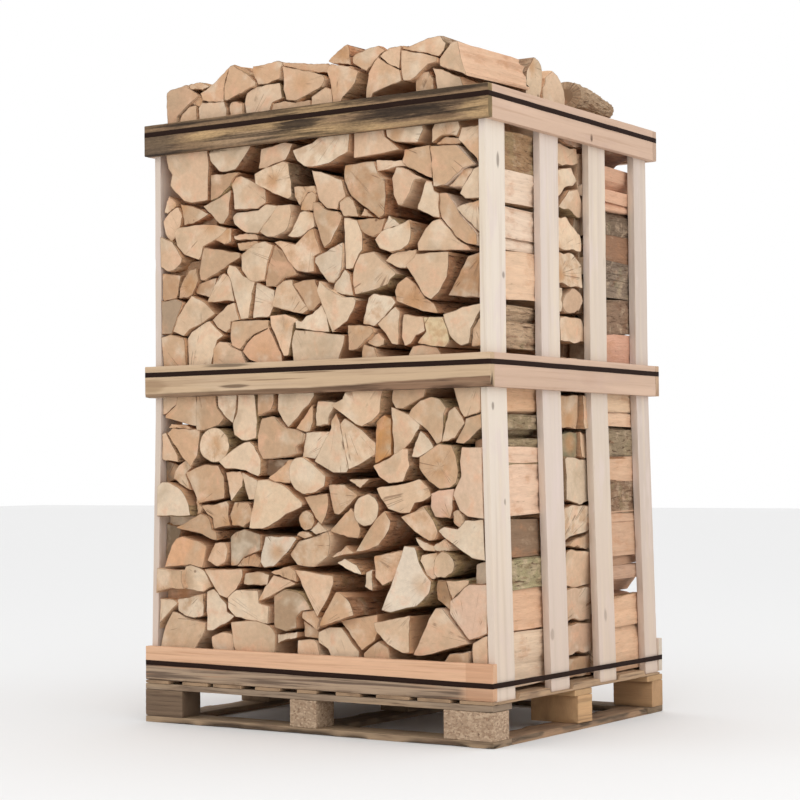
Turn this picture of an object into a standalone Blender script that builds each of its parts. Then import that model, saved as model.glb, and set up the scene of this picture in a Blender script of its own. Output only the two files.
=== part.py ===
# A strapped crate of split firewood on a pallet with a board frame below it.
# The logs lie in three rows: lengthwise at the front and back, crosswise between them.
import math

import bmesh
import bpy
from mathutils import Vector

for item in list(bpy.data.objects):
    bpy.data.objects.remove(item, do_unlink=True)

# Every size is in millimetres and is turned to metres where a mesh is made.
# X runs to the right, Y to the back and Z up, with the pallet's underside at zero.
mm = 0.001
touch = 0.3                     # air between two pieces that touch

pallet_half = (600, 500)        # half width and half depth of the pallet
bottom_thick = 18               # boards of the frame at the bottom
bottom_wide = 100
bevel = 9                       # slope on the outer top edge of the end boards
block_top = 96
lead_thick = 17
deck_thick = 20

rail_thick = 22
# How far each side of the rail frame stands from the middle of the pallet.
rail_right, rail_left, rail_front, rail_back = 597, 605, 493, 505
rail_heights = {"bottom": (123, 222), "middle": (958, 1051), "top": (1680, 1773)}
bend_height = 950               # below it the slats lean outwards
slat_top = 1765
slat_foot = 120
slat_splay = 19                 # how far a slat stands out at its foot
# Front and back edge of each slat at its top, and how much further back its foot stands.
slat_places = ((-470.7, -369, 0), (-178, -73, 5), (108, 210, 4), (394, 474, 8))

strap_wide, strap_thick = 14, 0.9
strap_heights = {"bottom": (169, -0.0085), "middle": (1026, 0.0), "top": (1744, 0.0)}

log_plane = 465                 # plane of the log ends at the front and back
row_face = 441                  # face of a row behind its log ends
row_inner = 150                 # inner face of the front and back rows
load_floor = 133.9
side_low, side_high = 562, 546  # half width of a row at the deck and from the bend up
# Corners kept of a log end, for ends of at least so many square millimetres.
front_corners = ((13000, 5), (3600, 4), (0, 3))
back_corners = ((12000, 4), (0, 3))
middle_corners = ((0, 4),)
settle = 8                      # how far some heap logs are let into the row below them

deck_spans = ((-600, -512), (-460, -366), (-345, -242), (-192, -103), (-44, 25), (90, 171),
              (226, 335), (361, 467), (496, 600))
bevel_spans = ((-452, -78), (38, 436))      # where the end boards slope, between the blocks
# Left and right sides of the front, middle and back block of each column, the front and back
# sides of the middle block, and how far the upright edges are cut off.
block_columns = {
    "left": ((-600, -460), (-600, -493), (-600, -460), (-42, 42), 3),
    "middle": ((-68, 25), (-70, 30), (-68, 25), (-42, 42), 12),
    "right": ((445, 600), (446, 600), (468, 600), (-34, 50), 3),
}
middle_cut = 12                             # the same for the middle blocks
front_block, back_block = (-500, -415), (430, 500)

# Log ends of the front row, each as how far it stands out and its corners (x, z, bulge),
# anticlockwise from the front. The back row takes the same ends turned half round.
stacked_logs = [
    (0, (-588, 272), (-555, 306), (-528, 330), (-503, 350), (-520, 361), (-588, 364)),
    (0, (-527, 325, 20), (-568, 142), (-490, 142), (-404, 272), (-402, 296), (-452, 302)),
    (0, (-508, 360), (-505, 328, 14), (-404, 318), (-405, 381)),
    (20, (-588, 378), (-520, 394), (-462, 394), (-474, 418), (-470, 447), (-588, 452)),
    (0, (-473, 392), (-410, 384), (-379, 403), (-403, 447, 7), (-470, 461, 9)),
    (0, (-398, 452), (-350, 378), (-322, 370), (-285, 398), (-262, 436), (-264, 455)),
    (-5, (-396, 273), (-376, 274), (-318, 302), (-298, 318), (-325, 330), (-325, 352), (-345, 368),
     (-372, 396), (-397, 388)),
    (-10, (-374, 142), (-292, 142), (-304, 266, 9), (-381, 256)),
    (5, (-268, 142), (-155, 142), (-142, 270), (-162, 298), (-210, 309), (-297, 303), (-291, 250)),
    (-5, (-140, 246), (-108, 257), (-70, 265), (-70, 281), (-140, 270)),
    (0, (-290, 316), (-250, 311), (-168, 301), (-164, 350), (-200, 360), (-203, 396), (-285, 396),
     (-319, 372), (-320, 342)),
    (0, (-393, 478), (-360, 461, 5), (-319, 484), (-316, 515), (-322, 532), (-362, 530)),
    (-8, (-285, 463), (-207, 463), (-200, 480), (-225, 500), (-262, 488)),
    (-5, (-262, 411), (-172, 411), (-166, 440), (-202, 450), (-258, 443)),
    (0, (-158, 449), (-100, 431), (-68, 422), (-70, 453), (-95, 467)),
    (0, (-202, 364), (-147, 386), (-105, 405), (-72, 417), (-100, 429), (-151, 440), (-182, 400)),
    (5, (-146, 290), (-105, 282), (-66, 292), (-66, 322), (-45, 342), (-12, 347), (-38, 386),
     (-65, 396), (-105, 402), (-147, 382)),
    (5, (14, 326), (46, 375), (66, 420), (62, 443), (-5, 452), (-76, 457), (-66, 442)),
    (25, (30, 302), (146, 336, 16), (88, 400), (40, 326)),
    (10, (80, 480), (130, 456), (165, 450), (150, 474), (106, 493)),
    (0, (168, 414), (196, 404), (190, 462), (172, 455)),
    (0, (158, 238), (202, 268), (214, 296), (208, 340), (84, 318)),
    (-5, (85, 142), (135, 142), (142, 234), (84, 300), (42, 299), (4, 283), (5, 254), (38, 238)),
    (0, (-70, 142), (40, 142), (5, 252), (-5, 262), (-66, 259)),
    (-10, (-47, 268), (0, 264), (2, 284), (-48, 314)),
    (0, (-50, 322), (2, 290), (12, 320), (-8, 345), (-48, 340)),
    (15, (215, 294), (252, 260), (302, 238), (323, 240), (325, 340), (272, 331), (208, 318)),
    (0, (325, 233), (360, 233), (506, 270), (425, 364), (402, 362), (382, 338)),
    (-5, (362, 142), (500, 142), (505, 249), (440, 240)),
    (0, (163, 142), (272, 142), (245, 252), (212, 266), (161, 232)),
    (-5, (513, 252, 5), (534, 142), (562, 142), (562, 294), (515, 273)),
    (0, (447, 350), (508, 281), (562, 300), (562, 431), (508, 431), (449, 384)),
    (-5, (450, 387), (503, 431), (504, 441), (434, 438)),
    (-5, (404, 386), (443, 357), (448, 382), (433, 436), (405, 440), (400, 425)),
    (0, (352, 492), (368, 460, 5), (395, 440), (404, 446), (401, 480), (407, 513), (360, 506)),
    (5, (225, 352), (255, 347), (318, 362), (345, 366), (387, 402), (393, 436), (366, 459), (350, 490),
     (335, 527), (300, 530), (272, 458), (247, 402)),
    (-5, (201, 440), (222, 418), (254, 432), (273, 461), (296, 519), (201, 500)),
    (0, (-590, 779), (-502, 766), (-502, 783), (-547, 856, 10), (-592, 812)),
    (0, (-478, 777), (-450, 752), (-425, 790), (-422, 862), (-525, 866), (-541, 852)),
    (0, (-520, 716), (-453, 683), (-474, 730), (-450, 752), (-470, 775), (-500, 758), (-516, 738)),
    (-20, (-590, 682), (-552, 708), (-524, 720), (-512, 758), (-545, 768), (-590, 775)),
    (20, (-590, 606), (-440, 609), (-447, 640, 6), (-488, 692, 5), (-545, 709), (-590, 678)),
    (0, (-422, 645), (-385, 652), (-329, 659), (-330, 722), (-350, 756), (-402, 759), (-470, 737)),
    (0, (-364, 764, 15), (-310, 815, 15), (-364, 866, 15), (-418, 815, 15)),
    (5, (-343, 768), (-320, 746), (-285, 746), (-243, 739), (-196, 722), (-188, 730), (-188, 768),
     (-212, 808), (-232, 825), (-252, 822), (-285, 806)),
    (0, (-322, 735), (-308, 682), (-298, 652), (-260, 694), (-258, 722), (-270, 738)),
    (0, (-239, 656), (-208, 656), (-202, 700), (-205, 712), (-262, 734), (-252, 693)),
    (0, (-298, 583), (-256, 577), (-234, 592, 4), (-229, 630), (-240, 648), (-290, 648), (-306, 610)),
    (0, (-414, 638), (-393, 614), (-374, 604), (-367, 570), (-340, 576), (-305, 581), (-311, 610),
     (-310, 642), (-318, 652), (-370, 640)),
    (-5, (-433, 612), (-420, 616), (-412, 632), (-424, 644), (-436, 662)),
    (5, (-506, 572), (-452, 562), (-414, 556), (-375, 541), (-353, 538), (-353, 563), (-369, 568),
     (-377, 600), (-388, 610), (-410, 615), (-425, 609)),
    (-25, (-583, 500), (-565, 480), (-542, 488), (-524, 528), (-512, 555), (-512, 572), (-583, 586)),
    (5, (-545, 455), (-455, 465), (-405, 455), (-396, 520), (-430, 535), (-485, 547), (-506, 541),
     (-524, 520)),
    (-5, (-311, 463), (-287, 465), (-262, 489), (-226, 502), (-200, 512), (-196, 556), (-256, 571),
     (-290, 564), (-309, 548)),
    (-20, (-188, 727), (-165, 722), (-150, 731), (-108, 770), (-186, 771)),
    (0, (-163, 718), (-142, 707), (-87, 702), (-86, 735), (-77, 770), (-92, 770)),
    (10, (-30, 671), (12, 678), (40, 694), (44, 722), (0, 757), (-40, 779, 4), (-76, 764, 6),
     (-82, 712, 8)),
    (-5, (112, 712), (150, 687), (183, 714)),
    (10, (180, 584, 13), (222, 628, 13), (180, 671, 13), (139, 627, 13)),
    (0, (62, 617), (80, 615), (124, 648), (150, 668), (103, 699), (46, 698), (50, 655)),
    (0, (3, 603), (20, 587), (38, 608), (48, 643), (41, 675), (-42, 665)),
    (0, (45, 568), (108, 553), (150, 549), (158, 575), (143, 612), (122, 635)),
    (-5, (-35, 569, 8), (-8, 598, 8), (-34, 625, 8), (-61, 597, 8)),
    (-10, (-30, 570), (-5, 557), (38, 568), (2, 594), (-10, 580)),
    (-5, (-68, 553), (-40, 546), (-15, 554), (-35, 566), (-62, 565)),
    (5, (-229, 573), (-180, 572), (-130, 594), (-100, 613), (-45, 635), (-44, 648), (-109, 698),
     (-168, 714), (-203, 712)),
    (0, (-200, 476), (-185, 460), (-150, 465), (-97, 505), (-60, 546), (-70, 551), (-180, 551),
     (-190, 520)),
    (0, (-92, 500), (-67, 470), (-5, 466), (8, 477), (45, 498), (52, 540), (45, 567), (0, 553),
     (-40, 543), (-60, 538)),
    (-5, (52, 494), (80, 499), (130, 507), (103, 528)),
    (5, (379, 706), (417, 685), (450, 689), (475, 702), (483, 735), (477, 777), (463, 804), (421, 810),
     (351, 773), (347, 745)),
    (5, (508, 611), (562, 607), (562, 797), (490, 800), (485, 760), (487, 720), (468, 690), (461, 668),
     (482, 628)),
    (0, (225, 660), (247, 631), (290, 619), (318, 620), (335, 648), (362, 652), (388, 668), (384, 687),
     (366, 700), (350, 713), (300, 700), (212, 689)),
    (0, (386, 640), (400, 610), (450, 606), (461, 636), (459, 664), (466, 687), (417, 684), (388, 674)),
    (5, (204, 750), (221, 722), (254, 702), (300, 706), (322, 750), (317, 797), (300, 797), (246, 768)),
    (5, (292, 610), (338, 568), (383, 544), (405, 550), (412, 570), (400, 600), (380, 628), (370, 640),
     (330, 622)),
    (15, (146, 512), (190, 517), (226, 531), (262, 575), (266, 600), (248, 626), (215, 602), (190, 570)),
    (0, (343, 540), (362, 520), (400, 516), (395, 530), (357, 546), (337, 556)),
    (5, (403, 520), (418, 516), (448, 520), (447, 535), (433, 549), (398, 531)),
    (-5, (458, 592), (475, 581), (493, 597), (490, 610), (474, 631), (456, 622)),
    (5, (412, 573), (437, 552), (467, 535), (492, 516), (518, 500), (562, 494), (562, 605), (502, 602),
     (476, 577), (433, 583)),
    (10, (404, 494), (402, 469, 5), (412, 448, 5), (454, 457, 5), (467, 482, 4), (458, 502, 4),
     (430, 517, 4)),
    (0, (-568, 907), (-547, 909), (-505, 938), (-500, 1008), (-576, 1008), (-576, 925)),
    (0, (-548, 898), (-435, 870), (-427, 930), (-435, 1008), (-487, 1008), (-506, 934), (-546, 906)),
    (0, (-432, 859), (-402, 859), (-347, 872), (-328, 892), (-352, 922), (-368, 1008), (-426, 1008),
     (-431, 909)),
    (0, (-297, 878), (-284, 913), (-275, 1008), (-362, 1008), (-350, 924), (-318, 890)),
    (0, (-292, 842), (-262, 829), (-243, 826), (-208, 832), (-206, 880), (-214, 955), (-246, 1008),
     (-272, 1008), (-280, 912), (-296, 878)),
    (-5, (-540, 868), (-455, 864), (-470, 875), (-530, 880)),
    (0, (-203, 896), (-150, 914), (-142, 935), (-142, 1008), (-205, 1008)),
    (0, (-97, 861), (-24, 926), (-4, 950), (-8, 1008), (-124, 1008), (-131, 913), (-114, 880)),
    (0, (-207, 840), (-203, 800), (-186, 773), (-105, 778), (-62, 786), (-66, 806), (-38, 822),
     (-36, 843), (-68, 855), (-105, 860), (-145, 895), (-190, 890)),
    (0, (-66, 858), (-36, 848), (-18, 850), (-6, 872), (-6, 928)),
    (0, (3, 864), (45, 868), (47, 888), (64, 912), (78, 928), (10, 936), (1, 900)),
    (0, (120, 740), (150, 752), (203, 781), (203, 814), (168, 846), (103, 884), (90, 868), (104, 806)),
    (5, (4, 765), (66, 732), (112, 731), (118, 743), (100, 818), (86, 880), (76, 903), (60, 880),
     (60, 858)),
    (0, (-42, 778), (2, 770), (38, 812), (58, 848), (-33, 848)),
    (15, (72, 922), (150, 866), (172, 858), (203, 872), (230, 897), (243, 1008), (130, 1008), (110, 938)),
    (0, (264, 925), (275, 907), (300, 905), (330, 921), (370, 938), (388, 1008), (262, 1008)),
    (5, (408, 808), (424, 815), (433, 860), (435, 890), (446, 906), (426, 930), (400, 937), (362, 929),
     (328, 904), (320, 888), (380, 846)),
    (0, (428, 812), (466, 822), (498, 862), (490, 882), (466, 908), (448, 897), (437, 862)),
    (0, (500, 880), (562, 895), (562, 1008), (440, 1008), (484, 898)),
    (0, (465, 811), (492, 807), (530, 832), (562, 860), (562, 890), (502, 876), (498, 858), (468, 820)),
    (-5, (202, 757), (256, 780), (257, 880), (235, 893), (222, 886), (205, 870)),
    (0, (264, 781), (283, 781), (322, 815), (352, 850), (356, 862), (322, 890), (298, 899), (262, 912)),
    (0, (325, 773), (346, 771), (354, 774), (402, 797), (384, 824), (356, 846), (338, 812)),
    (0, (-592, 1013), (-468, 1013), (-470, 1134), (-522, 1146), (-560, 1139), (-584, 1098)),
    (0, (-462, 1013), (-385, 1013), (-366, 1085), (-350, 1122), (-322, 1134), (-352, 1156),
     (-377, 1180), (-395, 1175), (-452, 1151), (-468, 1132)),
    (0, (-372, 1013), (-232, 1013), (-262, 1086), (-300, 1100), (-312, 1115), (-342, 1118), (-364, 1097)),
    (0, (-302, 1134), (-294, 1103), (-262, 1090), (-240, 1115), (-215, 1133), (-165, 1150),
     (-165, 1172), (-298, 1176)),
    (0, (-258, 1086), (-235, 1062), (-110, 1013), (-116, 1073), (-163, 1156), (-165, 1147),
     (-215, 1130), (-240, 1112)),
    (0, (-105, 1066), (-90, 1068), (-80, 1105), (-72, 1160), (-55, 1166), (-84, 1180), (-104, 1187),
     (-158, 1184), (-152, 1154)),
    (0, (-68, 1013), (68, 1013), (98, 1100), (101, 1117), (3, 1132), (-66, 1141), (-79, 1101)),
    (5, (118, 1074), (148, 1076), (172, 1095), (208, 1120), (205, 1132), (158, 1143), (119, 1144)),
    (0, (152, 1013), (235, 1013), (205, 1078), (168, 1090)),
    (-8, (170, 1093), (205, 1081), (232, 1085), (236, 1100), (212, 1120)),
    (0, (214, 1144), (243, 1115), (263, 1087), (284, 1084), (289, 1150), (292, 1175), (278, 1190),
     (240, 1162)),
    (0, (308, 1078), (328, 1083), (347, 1106), (376, 1118), (368, 1155), (300, 1168), (296, 1105)),
    (0, (348, 1085), (408, 1074), (436, 1070), (452, 1090), (446, 1118), (430, 1152), (372, 1156),
     (378, 1116)),
    (0, (450, 1105), (470, 1084), (488, 1073), (512, 1078), (520, 1118), (543, 1156), (562, 1186),
     (500, 1178), (433, 1160)),
    (-10, (515, 1070), (548, 1070), (548, 1150), (522, 1118)),
    (-5, (300, 1013), (440, 1013), (408, 1070), (360, 1081), (330, 1078)),
    (5, (-590, 1148), (-520, 1148), (-500, 1190), (-475, 1238), (-500, 1250), (-558, 1246), (-590, 1250)),
    (0, (-552, 1248), (-505, 1252), (-495, 1290), (-490, 1320), (-566, 1330), (-574, 1283)),
    (0, (-497, 1252), (-462, 1253), (-445, 1262), (-420, 1300), (-428, 1338), (-456, 1333),
     (-478, 1308), (-494, 1278)),
    (-8, (-440, 1264), (-386, 1250), (-378, 1262), (-360, 1292), (-356, 1306), (-414, 1296), (-440, 1286)),
    (5, (-514, 1153), (-473, 1138), (-452, 1156), (-394, 1178), (-378, 1187), (-353, 1200),
     (-389, 1232), (-445, 1258), (-470, 1232), (-498, 1194)),
    (0, (-414, 1301), (-400, 1300), (-350, 1318), (-300, 1346), (-264, 1360), (-268, 1372),
     (-400, 1398), (-412, 1360), (-419, 1320)),
    (0, (-386, 1235), (-345, 1232), (-312, 1236), (-288, 1232), (-300, 1290), (-308, 1308),
     (-325, 1318), (-343, 1312)),
    (0, (-267, 1179), (-240, 1179), (-222, 1250), (-210, 1286), (-252, 1304), (-278, 1333),
     (-302, 1341), (-310, 1318), (-297, 1290), (-282, 1225)),
    (0, (-372, 1182), (-348, 1156), (-320, 1143), (-303, 1154), (-302, 1174), (-270, 1178),
     (-285, 1228), (-310, 1225), (-340, 1202)),
    (-5, (-222, 1180), (-165, 1182), (-150, 1208), (-143, 1258), (-172, 1270), (-208, 1285), (-214, 1240)),
    (10, (-572, 1366, 4), (-548, 1342, 4), (-515, 1333, 4), (-478, 1358), (-474, 1370), (-512, 1420),
     (-552, 1438), (-582, 1436), (-584, 1400)),
    (5, (-418, 1362), (-408, 1378), (-402, 1400), (-370, 1412), (-312, 1445), (-355, 1462),
     (-402, 1466), (-497, 1461), (-508, 1448), (-497, 1408), (-472, 1380)),
    (-3, (-368, 1420), (-327, 1402), (-298, 1408), (-300, 1446), (-312, 1449), (-345, 1430)),
    (-5, (-290, 1414), (-203, 1408), (-203, 1422), (-252, 1430), (-293, 1424)),
    (-5, (-270, 1380), (-232, 1382), (-203, 1396), (-205, 1405), (-278, 1402)),
    (5, (-256, 1321), (-233, 1292), (-205, 1285), (-172, 1287), (-163, 1333), (-140, 1386),
     (-170, 1400), (-205, 1398), (-235, 1380), (-258, 1365)),
    (0, (-168, 1269), (-138, 1267), (-110, 1290), (-60, 1298), (-66, 1308), (-101, 1354), (-110, 1367),
     (-138, 1388), (-160, 1333), (-169, 1287)),
    (5, (-58, 1307), (-30, 1302), (-1, 1303), (3, 1346), (27, 1354), (20, 1376), (8, 1424), (-6, 1420),
     (-24, 1410), (-60, 1382), (-110, 1396), (-132, 1394), (-108, 1374), (-88, 1338)),
    (0, (-97, 1410), (-80, 1405), (-48, 1405), (-22, 1418), (6, 1430), (-2, 1470), (-30, 1478),
     (-48, 1474), (-78, 1428)),
    (5, (41, 1366), (62, 1380), (88, 1422), (100, 1454), (84, 1468), (46, 1475), (18, 1497), (0, 1500),
     (3, 1462), (28, 1392)),
    (0, (46, 1270), (64, 1266), (84, 1284), (97, 1310), (103, 1378), (45, 1358), (5, 1342), (3, 1329),
     (20, 1300)),
    (-5, (62, 1243), (104, 1230), (131, 1226), (119, 1290), (104, 1302), (86, 1282), (66, 1263)),
    (0, (106, 1304), (132, 1304), (154, 1342), (170, 1352), (170, 1400), (152, 1438), (104, 1449)),
    (0, (141, 1230), (205, 1236), (255, 1252), (262, 1264), (283, 1279), (237, 1317), (205, 1346),
     (157, 1343), (144, 1320), (132, 1290), (133, 1262)),
    (0, (-151, 1210), (-93, 1196), (-40, 1183), (-22, 1194), (-76, 1270), (-76, 1284), (-110, 1283),
     (-132, 1266)),
    (0, (-20, 1193), (-5, 1192), (23, 1213), (20, 1242), (3, 1281), (-40, 1280), (-72, 1272)),
    (5, (62, 1127), (116, 1155), (137, 1184), (150, 1213), (141, 1222), (103, 1225), (54, 1250),
     (24, 1274), (16, 1250), (25, 1222), (44, 1180)),
    (0, (3, 1134), (52, 1128), (42, 1178), (24, 1206), (-5, 1184), (-28, 1176), (-48, 1162),
     (-66, 1166), (-66, 1144)),
    (0, (150, 1425), (172, 1400), (204, 1386), (233, 1400), (244, 1436), (225, 1434), (200, 1440),
     (148, 1438)),
    (0, (104, 1452), (156, 1446), (138, 1494), (118, 1508), (88, 1500), (90, 1472)),
    (-5, (160, 1450), (203, 1443), (172, 1470)),
    (10, (225, 1354), (262, 1340), (304, 1344), (326, 1354, 4), (342, 1388), (337, 1425), (279, 1409),
     (233, 1400), (209, 1379)),
    (0, (238, 1403), (280, 1411), (292, 1415), (278, 1429), (256, 1442)),
    (0, (353, 1338), (516, 1332), (508, 1343), (475, 1362), (452, 1394), (425, 1422), (400, 1417),
     (378, 1400), (352, 1358)),
    (0, (425, 1426), (452, 1396), (476, 1366), (510, 1346), (546, 1342), (546, 1370), (492, 1426),
     (470, 1460), (448, 1490), (421, 1492), (421, 1446)),
    (0, (476, 1446), (500, 1422), (548, 1376), (562, 1376), (562, 1464), (504, 1456)),
    (10, (404, 1200), (426, 1217), (450, 1262), (455, 1300), (454, 1330), (350, 1330), (346, 1320),
     (318, 1300), (346, 1265), (380, 1212)),
    (0, (242, 1318), (283, 1296), (312, 1292), (345, 1328), (345, 1342), (300, 1342), (262, 1336)),
    (0, (279, 1204), (325, 1187), (368, 1171), (412, 1165), (400, 1190), (374, 1210), (342, 1250),
     (316, 1271), (284, 1252), (277, 1233)),
    (-20, (440, 1212), (562, 1198), (562, 1330), (500, 1316), (470, 1262)),
    (0, (166, 1146), (205, 1138), (242, 1165), (278, 1200), (266, 1217), (205, 1228), (188, 1218)),
    (5, (-505, 1566), (-475, 1542), (-445, 1533), (-384, 1535), (-380, 1600), (-376, 1645),
     (-388, 1730), (-546, 1730), (-530, 1640), (-515, 1622), (-526, 1590)),
    (10, (-364, 1649), (-343, 1624, 4), (-310, 1612), (-277, 1616), (-222, 1678), (-225, 1730),
     (-378, 1730)),
    (0, (-376, 1534), (-350, 1538), (-298, 1570), (-290, 1590), (-262, 1608), (-376, 1610)),
    (0, (-322, 1461), (-304, 1487), (-300, 1560), (-345, 1540), (-408, 1521), (-372, 1493), (-340, 1462)),
    (0, (-475, 1469), (-435, 1471), (-394, 1487), (-378, 1496), (-443, 1524), (-490, 1533), (-480, 1500)),
    (0, (-552, 1512), (-540, 1508), (-502, 1528), (-505, 1540), (-533, 1560), (-542, 1545)),
    (0, (-527, 1421), (-504, 1437), (-490, 1466), (-482, 1495), (-495, 1524), (-505, 1525),
     (-540, 1504), (-556, 1484), (-548, 1446)),
    (5, (-190, 1428), (-160, 1412, 4), (-113, 1417, 5), (-84, 1446), (-76, 1478), (-80, 1500),
     (-122, 1500)),
    (0, (-281, 1500), (-200, 1496), (-173, 1513), (-172, 1550), (-200, 1567), (-238, 1588),
     (-262, 1598), (-280, 1594), (-293, 1576), (-286, 1545)),
    (0, (-292, 1458), (-243, 1430), (-196, 1424), (-126, 1499), (-172, 1509), (-200, 1492),
     (-285, 1492), (-300, 1480)),
    (0, (-197, 1612), (-172, 1612), (-100, 1630), (-85, 1648), (-72, 1674), (-100, 1680), (-186, 1668)),
    (10, (-66, 1652), (-51, 1620), (-26, 1603), (3, 1599), (62, 1603), (95, 1620), (128, 1630),
     (130, 1730), (95, 1730), (3, 1667)),
    (10, (-200, 1568), (-138, 1537), (-82, 1513), (-70, 1520), (-72, 1562), (-84, 1618), (-101, 1625),
     (-172, 1607), (-204, 1597)),
    (0, (-50, 1492), (-42, 1504), (-20, 1530), (10, 1524), (2, 1546), (-68, 1548), (-66, 1520)),
    (0, (-46, 1482), (-5, 1476), (10, 1506), (10, 1520), (-5, 1532), (-20, 1528), (-42, 1503)),
    (0, (16, 1502), (46, 1478), (82, 1472), (88, 1492), (115, 1506), (101, 1555), (28, 1583),
     (-8, 1593), (3, 1549)),
    (0, (104, 1552), (128, 1508), (157, 1486), (204, 1455), (226, 1438), (247, 1446), (250, 1500),
     (247, 1545), (222, 1560), (208, 1598), (106, 1596)),
    (0, (139, 1612), (200, 1616), (298, 1622), (275, 1641), (246, 1662), (232, 1730), (141, 1730)),
    (5, (254, 1661), (283, 1645), (325, 1637), (358, 1637), (376, 1670), (352, 1730), (244, 1730)),
    (0, (302, 1587), (317, 1574), (358, 1553), (400, 1533), (397, 1590), (392, 1626), (312, 1621)),
    (-5, (210, 1568), (283, 1577), (314, 1576), (300, 1592), (212, 1602)),
    (0, (284, 1471), (300, 1471), (325, 1500), (340, 1532), (367, 1538), (304, 1572), (283, 1573),
     (267, 1545), (272, 1500)),
    (0, (352, 1452), (383, 1438), (404, 1426), (424, 1424), (421, 1446), (421, 1492), (404, 1500),
     (398, 1526), (380, 1532), (362, 1485)),
    (10, (412, 1508), (447, 1510), (490, 1540), (500, 1553), (540, 1560), (484, 1617), (404, 1620)),
    (-5, (450, 1507), (497, 1504), (530, 1550), (500, 1552), (488, 1538)),
    (0, (402, 1630), (434, 1650), (484, 1643), (494, 1662), (467, 1730), (434, 1730), (402, 1668)),
    (-8, (410, 1626), (486, 1622), (484, 1638), (434, 1645)),
    (0, (487, 1632), (500, 1618), (562, 1560), (562, 1668), (496, 1664)),
    (0, (490, 1484), (508, 1470), (562, 1468), (562, 1556), (533, 1550), (498, 1500)),
]
heap_logs = [
    (0, (-537, 1735), (-510, 1735), (-502, 1793), (-452, 1828), (-412, 1848), (-456, 1876),
     (-456, 1885), (-527, 1878), (-539, 1870), (-543, 1828)),
    (0, (-452, 1872), (-402, 1865), (-376, 1872), (-404, 1887), (-424, 1889), (-456, 1885)),
    (0, (-500, 1735), (-424, 1735), (-428, 1822), (-455, 1822), (-486, 1797)),
    (-5, (-450, 1830), (-425, 1818), (-414, 1815), (-404, 1834), (-414, 1848)),
    (0, (-414, 1735), (-322, 1735), (-314, 1800), (-322, 1820), (-377, 1824), (-404, 1826), (-416, 1812)),
    (0, (-402, 1832), (-384, 1826), (-325, 1821), (-322, 1862), (-312, 1895), (-300, 1920),
     (-314, 1912), (-360, 1878), (-378, 1870), (-410, 1854)),
    (5, (-318, 1823), (-308, 1822), (-252, 1838), (-203, 1854), (-200, 1864), (-231, 1890),
     (-247, 1902), (-285, 1924), (-297, 1922), (-309, 1895), (-317, 1862)),
    (0, (-294, 1735), (-252, 1735), (-253, 1807), (-285, 1820), (-300, 1817), (-305, 1806)),
    (0, (-240, 1735), (-176, 1735), (-143, 1799), (-106, 1808), (-110, 1838), (-114, 1853),
     (-204, 1853), (-243, 1838), (-248, 1810)),
    (0, (-197, 1857), (-163, 1855), (-116, 1866), (-113, 1899), (-108, 1912), (-130, 1920),
     (-147, 1916), (-216, 1913), (-218, 1892), (-200, 1866)),
    (5, (-93, 1802), (-60, 1794), (-26, 1803), (12, 1816), (41, 1828), (49, 1846), (41, 1857),
     (3, 1870), (-104, 1900), (-102, 1832)),
    (-10, (-104, 1901), (3, 1872), (44, 1868), (47, 1882), (45, 1891), (-40, 1902), (-108, 1912)),
    (0, (-6, 1735), (78, 1735), (62, 1816), (42, 1824), (14, 1812), (-4, 1800)),
    (0, (-168, 1735), (-10, 1735), (-10, 1792), (-60, 1791), (-96, 1798), (-140, 1795)),
    (5, (82, 1735), (108, 1785), (153, 1824), (162, 1852), (128, 1873), (66, 1886), (54, 1882),
     (50, 1872), (62, 1841)),
    (0, (68, 1889), (130, 1877), (128, 1920), (122, 1939), (87, 1920), (55, 1896)),
    (0, (140, 1878), (186, 1853), (200, 1866), (224, 1890), (248, 1904), (225, 1919), (204, 1920),
     (150, 1906), (138, 1898)),
    (0, (178, 1735), (205, 1788), (245, 1798), (305, 1812), (298, 1842), (254, 1865), (224, 1889),
     (204, 1866), (190, 1845)),
    (0, (229, 1890), (257, 1866), (298, 1846), (300, 1911), (275, 1911), (250, 1904)),
    (5, (312, 1810), (337, 1807), (375, 1833), (396, 1846), (424, 1850), (425, 1861), (392, 1874),
     (304, 1898), (303, 1845)),
    (0, (304, 1901), (392, 1877), (426, 1865), (443, 1880), (447, 1900), (429, 1922), (400, 1922),
     (367, 1916), (322, 1904), (304, 1912)),
    (5, (429, 1838), (467, 1824), (514, 1806), (522, 1800), (500, 1853), (488, 1899), (466, 1900),
     (428, 1858)),
    (0, (427, 1735), (522, 1735), (492, 1802), (426, 1832), (402, 1838), (412, 1816)),
    (-8, (340, 1735), (404, 1735), (404, 1806), (390, 1830), (368, 1830), (345, 1812)),
]

# Logs of the heap that lie loose on top, by their place in the list above.
loose_logs = (6, 9, 11, 15, 16, 20, 21)
# Logs of the heap that are let into what they lie on, at the front and at the back.
front_settled = (1,)
back_settled = (0, 3, 5, 9, 10, 14, 15)
# Logs of the heap that the back row repeats, and its own lower ones on the right.
back_heap = range(6, 24)
back_extra = (((345, 1730), (425, 1730), (412, 1782), (352, 1800)),
              ((430, 1730), (540, 1730), (535, 1775), (440, 1786)))

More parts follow.
